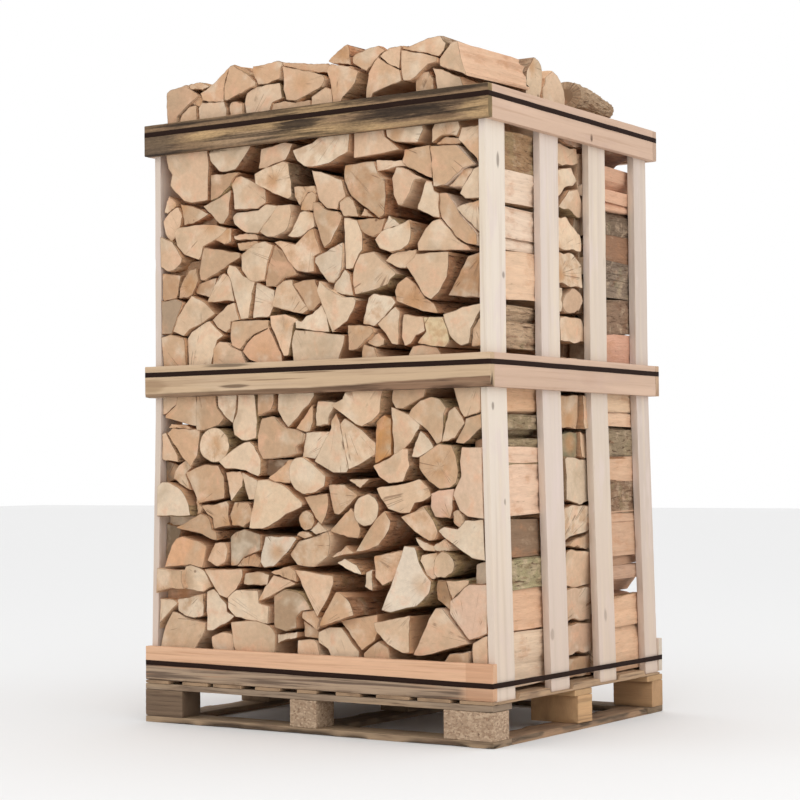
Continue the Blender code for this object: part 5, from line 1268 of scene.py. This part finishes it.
for side, way, start, seed in (("left", -1, 536, 47), ("centre", 1, 168, 53)):
    stack = logStack(lowTops, topCut, seed, depths=(14, 45, 110, 200))
    logPiece("cross_top_" + side, "middle_row", stack, crosswise(stack, topCut, way, start))
print("middle row:", 3 * len(crossRows) + 6, "logs")

backCut = dict(logCut, around=32, inside=logCut["inside"][::-1])
backExtra = readLogs("""
0: -425 1730, -345 1730, -352 1800, -412 1782
0: -540 1730, -430 1730, -440 1786, -535 1775
-40: -560 862, -470 864, -470 908, -560 902
-40: -556 1532, -470 1536, -470 1576, -556 1572
0: -546 1692, -480 1672, -450 1649, -384 1649, -386 1730, -546 1730
""")
# Light shows between these and their neighbours, high and low at the right edge of the back row.
backChanges = dict(zip((3, 161), readLogs("""
20: -588 414, -520 408, -492 368, -472 366, -470 447, -588 452
5: -505 1566, -475 1542, -445 1533, -384 1535, -380 1645, -450 1645, -470 1636, -546 1640, -540 1600,
  -526 1590
""")))
# The back row repeats the front one and most of the heap.
backRows = [backChanges.get(i, row) for i, row in enumerate(frontRows) if row is not gapLogs[1]]
backRows += heapLogs[6:] + backExtra
backStack = logStack(backRows, backCut, 59, frontLooks, flank=(-1, backFlank))
logPiece("back_row_logs", "back_row", backStack, towardsFront(backStack, backCut, 1))
print("back row:", len(backRows), "logs")

barkLog = {
    "middle": 480, "low": 1796.5, "start": 140.5, "long": 249,
    "half": 55, "high": 87,       # half width and height at the near end
    "share": 0.62,                # what is left of the height at the far end
    "fall": (0.1, 1.3),           # how far along it starts to get lower, and by what power
    "blunt": 0.14,                # share of the length that rounds off at the far end
    "near": (0, 0.5, 0.94), "far": (0.2, 0.1, 0),    # sizes of the first and last rings
    "lumps": 2.2, "longShare": 0.5, "fineShare": 0.3,    # their size, and the share of each kind
    "grow": 12,                   # lumps have their full size from 1/12 of the length on
    "rings": 54, "around": 60,
    "mapStart": 900,              # where its side starts in the pattern of the bark
    "bark": shade(176, 148, 120), "end": shade(150, 124, 98),
}


def barkLogSurface(s):
    # A nearly round log in its bark: an ellipse that stands on a level underside. Its height falls
    # by a power of the way along, its width by half as much, and a quarter circle ends both.
    dice = np.random.default_rng(61)
    rings, around = s["rings"], s["around"]
    way = np.concatenate(((0, 0, 0), np.linspace(0, 1, rings - 5), (1, 1)))
    start, power = s["fall"]
    fall = (1 - s["share"]) * np.clip((way - start) / (1 - start), 0, 1) ** power
    size = np.sqrt(np.clip(1 - (np.clip(way - 1 + s["blunt"], 0, 1) / s["blunt"]) ** 2, 0, 1))
    size[:3], size[-3:] = s["near"], s["far"]
    angle = np.arange(around) / around * 2 * np.pi
    along = sum(smoothNoise(dice, (rings, around), reach, 0, False) for reach in (3, 12))
    fine = sum(smoothNoise(dice, (rings, around), 1) for _ in range(2))
    lumps = fine * s["fineShare"] + along * s["longShare"]
    lumps = lumps * s["lumps"] * (size * np.clip(way * s["grow"], 0, 1))[:, None]
    high, half = s["high"] / 2 * (1 - fall), s["half"] * (1 - fall / 2)
    across = s["middle"] + ((half * size)[:, None] + lumps) * np.cos(angle)
    rise = s["low"] + high[:, None] + ((high * size)[:, None] + lumps) * np.sin(angle)
    y = np.broadcast_to(s["start"] + s["long"] * way[:, None], across.shape)
    return way, np.stack((across, y, np.maximum(rise, s["low"] - 0.5)), -1)[None]


def barkLogPiece(s):
    # The bark log's surface with its sawn end, its pattern unrolled from the bark, and its tones.
    way, points = barkLogSurface(s)
    _, rings, around, _ = points.shape
    kinds = np.full((1, rings - 1, around), 2)
    kinds[:, :1] = 0
    turn = np.linspace(0, 2 * np.pi * s["half"], around + 1)
    sideMap = np.stack(np.broadcast_arrays(turn, (s["long"] * way)[:, None] + s["mapStart"]), -1)[None]
    capMap = points[..., [0, 2]] - np.array((s["middle"], s["low"] + s["high"] / 2))
    rim = np.ones((1, rings, around, 3))
    rim[..., 0] = 0
    rim[:, :3] = (0, 1, 0.2)
    tones = {"endTone": s["end"], "sideTone": s["end"], "barkTone": s["bark"], "rim": rim}
    piece = tubeMesh("bark_log_back", points, kinds, capMap, sideMap, tones, logSkins)
    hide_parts("bark_log")


barkLogPiece(barkLog)

boardCut = {
    "step": 8,            # millimetres between rings along a board
    "corner": 1.7,        # rounding of the long edges
    "swell": ((9, 0.175), (2, 0.06)), "sink": 0.25,      # broad and fine unevenness of the faces
    "dent": (1.5, 1.4, 1.3),             # dents in the edges: rarity, depth and reach
    "wane": (0.55, 0.6, 14, 1.7, 1.1),   # missing edge: mean, change, length, most, and reach
    "waneRound": 1.2, "waneStain": (3, 0.2),
    "most": 0.1,          # how far a face may stand out
    "bow": 0.8, "bowWaves": (0.8, 1.6), "bowMean": 0.3, "bowSide": 0.6,   # bend along the whole board
    "trim": 0.9, "endRings": (0, 0.5, 0.97),             # rounding of the sawn ends
    "mapSpread": 6000,    # each board shows another part of the wood's pattern
}


def boardOutline(width, thick, corner):
    # A rectangle with round corners, anticlockwise, from the low one at the far end of the width.
    # The places of the four corners in the list are returned with it.
    arc = np.linspace(0, math.pi / 2, 4)
    spread = np.linspace(-1, 1, 9)[1:-1]
    w, t = width / 2 - corner, thick / 2 - corner
    rows, corners = [], []
    for number, (a, b) in enumerate(((1, -1), (1, 1), (-1, 1), (-1, -1))):
        turn = arc + math.pi / 2 * (number - 1)
        corners.append(sum(len(r) for r in rows) + 1.5)
        rows.append(np.stack((a * w + corner * np.cos(turn), b * t + corner * np.sin(turn)), 1))
        if number % 2:
            rows.append(np.stack((-b * spread * w, np.full(len(spread), b * thick / 2)), 1))
        else:
            rows.append(np.array(((a * width / 2, 0.0),)))
    outline = np.concatenate(rows)
    return outline, outwards(outline), corners


def boardSwell(outline, corners, rings, s, dice, tone, wane):
    # How far each place on a board's surface stands out or in, and its tone. The noises of the faces
    # are added up, dents come where a noise along an edge passes a limit, and wane gives, by corner,
    # how much of the edge is missing, how far that reaches, and its tone.
    around = len(outline)
    swell = sum(smoothNoise(dice, (rings, around), reach, 0, False) * size for reach, size in s["swell"])
    swell -= s["sink"]
    tones = np.ones((rings, around, 1)) * tone
    rare, deep, wide = s["dent"]
    for c in corners:
        near = np.abs((np.arange(around) - c + around / 2) % around - around / 2)
        dents = np.maximum(0, smoothNoise(dice, (rings,), 2, 0, False) - rare) * deep
        swell -= dents[:, None] * np.clip(wide - near / 2, 0, 1)
    mean, change, smooth, most, full = s["wane"]
    gain, start = s["waneStain"]
    for number, (size, reach, stain) in wane.items():
        far = np.linalg.norm(outline - outline[int(corners[number])], axis=1)
        loss = np.clip(mean + change * smoothNoise(dice, (rings,), smooth, 0, False), 0.0, most)
        cover = loss[:, None] * np.clip(full - far / reach, 0, 1)
        swell -= size * cover ** s["waneRound"]
        tones += np.clip(cover * gain - start, 0, 1)[..., None] * (np.array(stain) - tone)
    return np.minimum(swell, s["most"]), tones


def boardPoints(path, wide, width, thick, s, dice, tone, wane):
    # The outline is carried along the path, with its wide side along wide, and bent by part of a
    # sine. Each end has three smaller rings that close it.
    outline, normal, corners = boardOutline(width, thick, s["corner"])
    ahead = unit(path[-1] - path[0])
    thin = np.cross(wide, ahead)
    run = np.linalg.norm(path - path[0], axis=1)
    swell, tones = boardSwell(outline, corners, len(path), s, dice, tone, wane)
    flat = outline + normal * swell[..., None]
    waves, start = dice.uniform(*s["bowWaves"]), dice.uniform(0, 3)
    bow = s["bow"] * (np.sin(np.pi * (run / run[-1]) * waves + start) - s["bowMean"])
    flat[..., 0] += bow[:, None] * s["bowSide"]
    body = path[:, None] + flat[..., :1] * wide + flat[..., 1:] * thin
    shares = np.array(s["endRings"])[:, None, None]
    first = path[0] + (body[0] - path[0]) * shares
    last = path[-1] + (body[-1] - path[-1]) * shares[::-1]
    body[0] += ahead * s["trim"]
    body[-1] -= ahead * s["trim"]
    points = np.concatenate((first, body, last))
    tones = np.concatenate((np.repeat(tones[:1], 3, 0), tones, np.repeat(tones[-1:], 3, 0)))
    kinds = np.ones((len(points) - 1, len(outline)), int)
    kinds[[0, 1, -2, -1]] = 0
    shift = dice.uniform(0, s["mapSpread"], 4)
    sideMap = np.zeros((len(points), len(outline) + 1, 2))
    sideMap[..., 0] = runOf(outline, True) + shift[0]
    sideMap[..., 1] = np.concatenate((np.zeros(3), run, np.full(3, run[-1])))[:, None] + shift[1]
    capMap = np.stack(((points - path[0]) @ wide + shift[2], (points - path[0]) @ thin + shift[3]), -1)
    return points[None], kinds[None], capMap[None], sideMap[None], tones[None]


def boxOf(node):
    # The low and high corner of a node's box in millimetres.
    return [np.array(corner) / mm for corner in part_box(node)]


def boardPiece(node, path, wide, size, look, tone, seed, wane=(), trim=None):
    # size is the board's width and thickness, tone its main colour. trim can cut the points.
    dice = np.random.default_rng(seed)
    tone = np.array(tone) * (1 + toneSpread * dice.standard_normal())
    points, kinds, capMap, sideMap, tones = boardPoints(path, np.array(wide, float), *size, boardCut, dice,
                                                        tone, dict(wane))
    points = np.clip(points, *boxOf(node))
    if trim:
        trim(points)
    piece = tubeMesh(node + "_board", points, kinds, capMap, sideMap, {"tone": tones}, boardSkins[look], 40)
    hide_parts(node)


def straightBoard(node, along, wide, look, tone, slot, seed, wane=(), trim=None):
    # A board that fills its node's box, along one axis, with its wide side along another.
    low, high = boxOf(node)
    count = max(4, int((high - low)[along] / boardCut["step"]) + 1)
    path = np.tile((low + high) / 2, (count, 1))
    path[:, along] = np.linspace(low[along], high[along], count)
    size = (high - low)[[wide, 3 - along - wide]]
    boardPiece(node, path, np.eye(3)[wide], size, look, tone, seed, wane, trim)


def slatSpots(rows):
    # Knots on the slats: their place in metres, half width and half height.
    return [((x, y, z), (0.02, wide, high), shade(132, 117, 104), 0.7) for x, y, z, wide, high in rows]


def railSpots(rows):
    # Stains on a front rail: x and height in metres, half width and half height, tone and strength.
    return [((x, -0.49, z), (wide, 0.03, high), tone, most) for x, z, wide, high, tone, most in rows]


oldDark, gold, oldGrey = shade(54, 41, 31), shade(196, 162, 118), shade(96, 78, 60)
oldBrown, greyTan, dullTan = shade(112, 84, 62), shade(120, 92, 68), shade(144, 112, 84)
knotSpots = slatSpots((
    (0.575, -0.382, 1.265, 0.009, 0.012), (0.575, -0.487, 1.134, 0.006, 0.009),
    (0.575, -0.407, 1.575, 0.007, 0.02), (0.575, -0.489, 1.6, 0.014, 0.016),
    (0.576, -0.445, 0.908, 0.006, 0.01), (0.582, -0.397, 0.65, 0.006, 0.01),
    (0.59, -0.159, 0.278, 0.009, 0.014), (0.589, 0.157, 0.312, 0.011, 0.022)))
oldSpots = railSpots((
    (-0.57, 1.705, 0.11, 0.04, shade(96, 80, 64), 0.8), (-0.36, 1.722, 0.08, 0.014, gold, 0.9),
    (-0.2, 1.702, 0.16, 0.018, shade(176, 146, 116), 0.7), (-0.03, 1.722, 0.09, 0.013, oldDark, 0.9),
    (0.08, 1.696, 0.16, 0.014, gold, 0.8), (0.32, 1.722, 0.17, 0.022, oldDark, 0.92),
    (0.36, 1.768, 0.26, 0.012, oldDark, 0.85), (0.3, 1.686, 0.3, 0.007, gold, 0.5),
    (0.57, 1.71, 0.06, 0.04, gold, 0.75), (0.55, 1.738, 0.03, 0.01, shade(96, 76, 56), 0.7),
    (0.45, 1.694, 0.05, 0.01, shade(104, 80, 58), 0.7)))
middleSpots = railSpots((
    (-0.268, 0.984, 0.05, 0.006, shade(92, 68, 48), 0.8), (-0.3, 1.046, 0.09, 0.006, oldGrey, 0.75),
    (-0.58, 0.99, 0.05, 0.02, shade(166, 134, 100), 0.6), (-0.56, 1.026, 0.07, 0.004, oldBrown, 0.8),
    (0.0, 1.016, 0.09, 0.0025, shade(132, 102, 76), 0.8), (-0.12, 0.999, 0.11, 0.0022, dullTan, 0.7),
    (0.16, 1.022, 0.06, 0.003, greyTan, 0.75), (-0.13, 0.967, 0.42, 0.007, greyTan, 0.8)))

# What a kind of board doesn't say itself: how often its grain lines and stains repeat in a metre
# across and along, where dark lines start and end, and how strong they and the spots' edges are.
plainBoard = {"lines": (95, 2.2), "stains": (17, 4.5), "darkLimits": (0.46, 0.3), "darkShare": 0.6,
              "spots": (), "torn": 0.4, "flecks": 0, "low": None, "endTone": None, "split": None}
boardLooks = {
    "slat": {"grain": 0.09, "knots": 0.9, "rough": 0.72, "deep": 0.2, "streak": shade(240, 222, 198),
             "dark": shade(222, 202, 182), "blotch": (0.6, shade(234, 216, 208)), "lines": (48, 1.1),
             "low": (0.95, 0.12, 0.5, shade(224, 198, 178)), "spots": knotSpots},
    "pinkRail": {"grain": 0.12, "knots": 0.9, "rough": 0.75, "deep": 0.3, "streak": shade(232, 198, 172),
                 "dark": shade(204, 168, 142), "blotch": (0.5, shade(208, 176, 158)),
                 "spots": [((0.6, 0.087, 1.698), (0.02, 0.007, 0.011), shade(84, 60, 44), 0.9)]},
    "middleRail": {"grain": 0.22, "knots": 0.97, "rough": 0.76, "deep": 0.5, "streak": shade(228, 202, 174),
                   "dark": shade(176, 142, 112), "blotch": (0.35, shade(198, 166, 136)),
                   "lines": (70, 1.6), "stains": (46, 3), "spots": middleSpots,
                   "split": {"height": 0.974, "slope": 0.026, "ragged": 0.024, "below": shade(150, 116, 90),
                             "belowDark": shade(92, 68, 50), "endStart": 2, "end": shade(222, 172, 136)}},
    "tanRail": {"grain": 0.3, "knots": 0.84, "rough": 0.76, "deep": 0.5, "streak": shade(230, 198, 166),
                "dark": shade(146, 110, 82), "blotch": (0.8, shade(172, 140, 112)), "stains": (30, 3.5)},
    "oldRail": {"grain": 0.9, "knots": 0.95, "rough": 0.88, "deep": 1.0, "streak": shade(214, 178, 128),
                "dark": shade(44, 32, 24), "blotch": (0.85, shade(58, 42, 32)), "lines": (64, 1.9),
                "stains": (30, 2.2), "darkLimits": (0.5, 0.34), "darkShare": 0.7, "spots": oldSpots,
                "torn": 1.4, "flecks": 1.3, "endTone": shade(186, 156, 110)},
    "lowRail": {"grain": 0.24, "knots": 0.95, "rough": 0.78, "deep": 0.35, "streak": shade(236, 192, 156),
                "dark": shade(212, 158, 120), "blotch": (0.4, shade(220, 172, 142)), "stains": (95, 2.4),
                "split": {"height": 0.169, "slope": -0.0085, "ragged": 0, "below": shade(184, 158, 132),
                          "belowDark": shade(118, 98, 82), "endStart": 0.512, "end": shade(222, 172, 136)}},
    "pallet": {"grain": 0.6, "knots": 0.93, "rough": 0.86, "deep": 0.9, "streak": shade(190, 160, 126),
               "dark": shade(98, 76, 60), "blotch": (0.6, shade(130, 104, 84)), "lines": (110, 5)},
    "ochre": {"grain": 0.4, "knots": 0.97, "rough": 0.85, "deep": 0.7, "streak": shade(216, 178, 130),
              "dark": shade(156, 120, 84), "blotch": (0.5, shade(186, 146, 106))},
}


def splitTone(r, colour, stain, s):
    # The strip below a slanting line, given by a height and slope in metres, has an older tone, and
    # the board's end past endStart a fresh one.
    x, _, z = r.axes(r.space())
    level = r.swing(stain, s["ragged"], r.sums("MULTIPLY_ADD", x, -s["slope"], z))
    below = r.ramp(level, s["height"] + 0.002, s["height"] - 0.004)
    old = r.mix(r.ramp(stain, 0.42, 0.6), s["below"], s["belowDark"])
    colour = r.mix(r.ramp(x, s["endStart"] - 0.001, s["endStart"] + 0.001), colour, s["end"])
    fresh = r.ramp(x, s["endStart"] - 0.03, s["endStart"] + 0.01, (1.0, 0.25))
    return r.mix(r.times(below, fresh), colour, old)


def spotTone(r, colour, unevenness, spot):
    # An oval spot that fades out past its half sizes, by the distance from its place and noises.
    place, size, tone, most = spot
    scale = 1 / np.array(size)
    far = r.length(r.space(tuple(scale), tuple(-np.array(place) * scale)))
    for value, gain in unevenness:
        far = r.swing(value, gain, far)
    return r.stain(colour, far, 1.25, 0.6, most, tone)


def boardFace(name, s):
    # Sawn board: long grain lines, broad streaks, stains, a few knots with a dark ring, fine fibres.
    r = Recipe(name)
    lines = r.grain(*s["lines"], 4, 0.55, 0.35)
    stain = r.grain(*s["stains"], 4, 0.6, shift=(3.1, 1.7, 0))
    fibre = r.grain(700, 22, 2, 0.6)
    cell, far = r.cells(r.pattern((12, 5.5, 1)))
    chosen = r.ramp(cell[0], s["knots"], s["knots"] + 0.02)
    knot, halo = (r.times(chosen, r.ramp(far, *reach)) for reach in ((0.12, 0.05), (0.42, 0.1)))
    light = r.swing(fibre, s["grain"] * 0.9, r.swing(lines, s["grain"] * 1.6, 1.0))
    if s["flecks"]:
        light = r.swing(r.grain(230, 70, 4, 0.7), s["flecks"], light)
    colour = r.stain(r.mark("tone"), r.grain(22, 1.3, 3), 0.48, 0.7, 0.65, s["streak"])
    colour = r.stain(colour, stain, 0.5, 0.66, *s["blotch"])
    if s["split"]:
        colour = splitTone(r, colour, stain, s["split"])
    for spot in s["spots"]:
        colour = spotTone(r, colour, ((lines, 1.2), (stain, 1.6), (fibre, s["torn"])), spot)
    if s["low"]:
        colour = r.stain(colour, r.axes(r.space())[2], *s["low"])
    colour = r.stain(colour, lines, *s["darkLimits"], s["darkShare"], s["dark"])
    colour = r.mix(r.times(halo, 0.35), colour, s["dark"])
    colour = r.lit(r.mix(knot, colour, shade(112, 76, 50)), light)
    r.bump(r.plus(r.times(lines, 0.6), r.times(fibre, 0.5)), s["deep"], 0.0015)
    return r.finish(colour, s["rough"])


def boardEnd(name, s):
    # Sawn board end: growth rings as shallow curves, rougher and darker than the face.
    r = Recipe(name)
    fine = r.grain(900, 900, 3, 0.6)
    light = r.swing(fine, 0.5, r.swing(r.grain(60, 900, 3, 0.6, 0.8), 0.5, 0.92))
    tone = r.mark("tone") if s["endTone"] is None else s["endTone"]
    colour = r.stain(tone, r.grain(12, 20, 2), 0.45, 0.7, 0.5, s["dark"])
    r.bump(fine, 0.6, 0.0012)
    return r.finish(r.lit(colour, light), 0.88)


def chipFace(name):
    # Pressed chips: flat flakes that lie every way, each with its own tone, with dark pits between.
    r = Recipe(name)
    hue, _ = r.cells(r.space((135, 135, 215)))
    fine, pits = r.cloud(260, 4, 0.7), r.cloud(120, 3, 0.6)
    colour = r.stain(r.mark("tone"), hue[0], 0.3, 0.95, 0.6, shade(222, 194, 164))
    colour = r.stain(colour, hue[1], 0.5, 0.95, 0.5, shade(140, 106, 80))
    colour = r.stain(colour, pits, 0.44, 0.32, 0.6, shade(98, 72, 54))
    r.bump(r.plus(pits, r.times(fine, 0.8)), 0.9, 0.003)
    return r.finish(r.lit(colour, r.swing(fine, 0.9, 1.0)), 0.9)


boardSkins = {"chips": [chipFace("chips")] * 2}
for kind, own in boardLooks.items():
    look = dict(plainBoard, **own)
    boardSkins[kind] = [boardEnd(kind + "End", look), boardFace(kind + "Face", look)]
print("board materials ready")

slatShape = {
    "head": 1765,
    "faces": {"right": 574.7, "left": 582.7},    # outer faces above the bend
    "thick": 22, "step": 12,
    # Front and back edge of each at its top, and how much further back its foot stands.
    "places": ((-470.7, -369, 0), (-178, -73, 5), (108, 210, 4), (394, 474, 8)),
    # Tones of the right slats from front to back, which the left ones take in the other order; the last is
    # a little darker as painted shade, for light that falls off towards the back.
    "tones": (shade(238, 224, 208), shade(230, 213, 200), shade(232, 214, 196), shade(223, 205, 191)),
}


def slat(side, number, tone, seed, s):
    # Upright board: it leans outwards from the bend down to the foot, and a little to the back.
    front, back, more = s["places"][number]
    foot, bend, splay = (slatLean[key] for key in ("foot", "bend", "splay"))
    z = np.linspace(foot, s["head"], int((s["head"] - foot) / s["step"]))
    x = s["faces"][side] + splay * np.clip((bend - z) / (bend - foot), 0, 1) - s["thick"] / 2
    y = (front + back) / 2 + more * (s["head"] - z) / (s["head"] - foot)
    path = np.stack((x if side == "right" else -x, y, z), 1)
    boardPiece("slat_%s_%d" % (side, number + 1), path, (0, 1, 0), (back - front, s["thick"]), "slat", tone,
               seed)


for number in range(4):
    slat("right", number, slatShape["tones"][number], 301 + number, slatShape)
    slat("left", number, slatShape["tones"][3 - number], 311 + number, slatShape)

# The rails by place: look, tone, slot, seed, and the missing edge of the middle one in front.
frontRails = {
    "top": ("oldRail", shade(144, 116, 88), "weathered_wood", 321),
    "middle": ("middleRail", shade(212, 182, 148), "rail_wood", 322, {3: (3, 13, shade(128, 104, 80))}),
    "bottom": ("lowRail", shade(234, 188, 152), "rail_wood", 323),
}
pinkTone = shade(212, 180, 156)
backRails = {"top": ("pinkRail", pinkTone, "rail_wood", 325),
             "middle": ("tanRail", shade(206, 172, 142), "rail_wood", 326),
             "bottom": ("slat", shade(226, 210, 192), "rail_wood", 327)}
for place, look in frontRails.items():
    straightBoard("front_rail_" + place, 0, 2, *look)
sideSeeds = {"top": {"right": 330, "left": 340}, "middle": {"right": 331, "left": 341}}
for place, look in backRails.items():
    straightBoard("back_rail_" + place, 0, 2, *look)
    for side, seed in sideSeeds.get(place, {}).items():
        straightBoard("%s_rail_%s" % (side, place), 1, 2, "pinkRail", pinkTone, "rail_wood", seed)

palletTone = {"front": shade(168, 142, 114), "back": shade(150, 126, 100), "left": shade(150, 124, 98),
              "middle": shade(140, 118, 94), "right": shade(170, 136, 106)}
wornEdges = {corner: (5, 12, shade(112, 94, 76)) for corner in (1, 2)}
# Seeds below come from the length of the names.
for place, tone in palletTone.items():
    along = 0 if place in ("front", "back") else 1
    straightBoard("bottom_board_" + place, along, 1 - along, "pallet", tone, "pallet_wood",
                  340 + len(place), wornEdges)
for number, place in enumerate(("front", "middle", "back")):
    look, tone = ("pallet", shade(160, 138, 116)) if place == "front" else ("ochre", shade(208, 168, 124))
    straightBoard("lead_board_" + place, 0, 1, look, tone, "pallet_wood", 350 + number)

deckCut = {
    "step": (-470.6, 122.6),                       # a board is lower than this in front of the rail
    "feet": {-1: 579.0, 1: 571.0}, "low": 119.6,   # inner faces of the slats' feet, and their height
    "edge": 14, "reach": 9,                        # how far the cuts run on past the feet
    "tone": shade(184, 152, 120),
}


def trimDeck(points):
    # Lowers the top of a deck board under the front rail and round the feet of the slats.
    x, y, z = points[..., 0], points[..., 1], points[..., 2]
    rear, low = deckCut["step"]
    z[(y < rear) & (z > low)] = low
    foot = np.zeros(x.shape, bool)
    for way, inner in deckCut["feet"].items():
        for front, back, more in slatShape["places"]:
            foot |= (x * way > inner - deckCut["edge"]) & (y > front - deckCut["reach"]) \
                & (y < back + more + deckCut["reach"])
    z[foot & (z > deckCut["low"])] = deckCut["low"]


for number in range(1, 10):
    straightBoard("deck_board_%d" % number, 1, 0, "pallet", deckCut["tone"], "pallet_wood", 360 + number,
                  trim=trimDeck)

blocks = {
    "chips": ("front_middle", "front_right"),
    "deep": 78,           # one that is deeper than this from front to back has its grain that way
    "plain": shade(150, 124, 98),
    "front_left": shade(122, 100, 80), "front_middle": shade(190, 162, 134),
    "front_right": shade(194, 164, 136), "middle_right": shade(206, 164, 120),
    "back_right": shade(202, 160, 118),
}
for place in ("front", "middle", "back"):
    for side in ("left", "middle", "right"):
        name = place + "_" + side
        look = "chips" if name in blocks["chips"] else "ochre" if side == "right" else "pallet"
        low, high = boxOf("block_" + name)
        along = 1 if place != "front" and high[1] - low[1] > blocks["deep"] else 0
        straightBoard("block_" + name, along, 2, look, blocks.get(name, blocks["plain"]), "block_wood",
                      370 + len(name) + len(place))
print("pallet and rails ready")

strap = {
    "inner": (597.3, 505.3, 605.3, 493.3),  # right, back, left and front face from the middle
    "thick": 0.9, "wide": 14, "bevel": 0.25,
    "corner": 3.5,                        # rounding where it is pulled round a corner
    "sway": (14, 0.2),                    # how smoothly and how much it wanders up and down
    "heights": {"bottom": (169, -0.0085), "middle": (1026, 0.0), "top": (1744, 0.0)},
    "tone": shade(44, 28, 22), "dust": (0.5, 0.75, 0.5, shade(64, 48, 38)),
    "rough": (0.4, 0.7, (0.7, 0.85)), "shine": 0.08,
}


def strapSkin(s):
    # Black-brown plastic tape: fine lengthwise lines, a pressed waffle pattern and dust.
    r = Recipe("strapPlastic")
    dust = r.grain(30, 120, 4, 0.6)
    _, waffle = r.cells(r.pattern((420, 420, 1)))
    r.bump(r.plus(r.times(waffle, 0.7), r.grain(8, 2600, 2)), 0.4, 0.0004)
    return r.finish(r.stain(s["tone"], dust, *s["dust"]), r.ramp(dust, *s["rough"]), s["shine"])


def strapPath(s):
    # The tape's way round the crate, seen from above: a rectangle with its corners as quarter circles.
    radius = s["corner"] + s["thick"]
    right, back, left, front = [face - s["corner"] for face in s["inner"]]
    arcs = []
    for number, centre in enumerate(((right, -front), (right, back), (-left, back), (-left, -front))):
        turn = np.linspace(0, math.pi / 2, 9) + math.pi / 2 * (number - 1)
        arcs.append(np.array(centre) + radius * np.stack((np.cos(turn), np.sin(turn)), 1))
    runs = [np.linspace(arc[-1], after[0], 82)[1:-1] for arc, after in zip(arcs, arcs[1:] + arcs[:1])]
    return np.concatenate([part for pair in zip(arcs, runs) for part in pair])


def strapLoop(place, s, skin, seed):
    # A closed tape as wide as itself upwards. The first parameter runs round the crate, the second
    # round the tape's own cross-section, a flat rectangle with bevelled edges.
    dice = np.random.default_rng(seed)
    height, slope = s["heights"][place]
    path = strapPath(s)
    count = len(path)
    half, bevel, thick = s["wide"] / 2, s["bevel"], s["thick"]
    shape = np.array(((0, -half), (0, -half / 2), (0, 0), (0, half / 2), (0, half), (bevel, half),
                      (thick - bevel, half), (thick, half - bevel), (thick, 0),
                      (thick, bevel - half), (thick - bevel, -half), (bevel, -half)))[::-1]
    smooth, wander = s["sway"]
    sway = smoothNoise(dice, (count,), smooth) * wander
    z = height + slope * path[:, :1] + sway[:, None] + shape[:, 1]
    xy = path[:, None] - outwards(path)[:, None] * (thick - shape[:, 0])[:, None]
    points = np.concatenate((xy, z[..., None]), 2)
    around = len(shape)
    i, j = np.meshgrid(np.arange(count), np.arange(around), indexing="ij")
    k, m = (i + 1) % count, (j + 1) % around
    faces = np.stack((i * around + j, k * around + j, k * around + m, i * around + m), -1)
    mesh = bpy.data.meshes.new("strap_" + place)
    mesh.from_pydata((points.reshape(-1, 3) * mm).tolist(), [], faces.reshape(-1, 4).tolist())
    run, step = runOf(path, True), runOf(shape, True)
    pattern = np.stack((np.stack((run[i], run[i + 1], run[i + 1], run[i]), -1),
                        np.stack((step[j], step[j], step[j + 1], step[j + 1]), -1)), -1)
    layer = mesh.uv_layers.new(name="pattern")
    layer.uv.foreach_set("vector", (pattern * mm).astype(np.float32).reshape(-1))
    mesh.materials.append(skin)
    piece = smoothPiece("strap_%s_tape" % place, mesh, 50)
    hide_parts("strap_" + place)


tape = strapSkin(strap)
for number, place in enumerate(strap["heights"]):
    strapLoop(place, strap, tape, 401 + number)
print("straps ready")
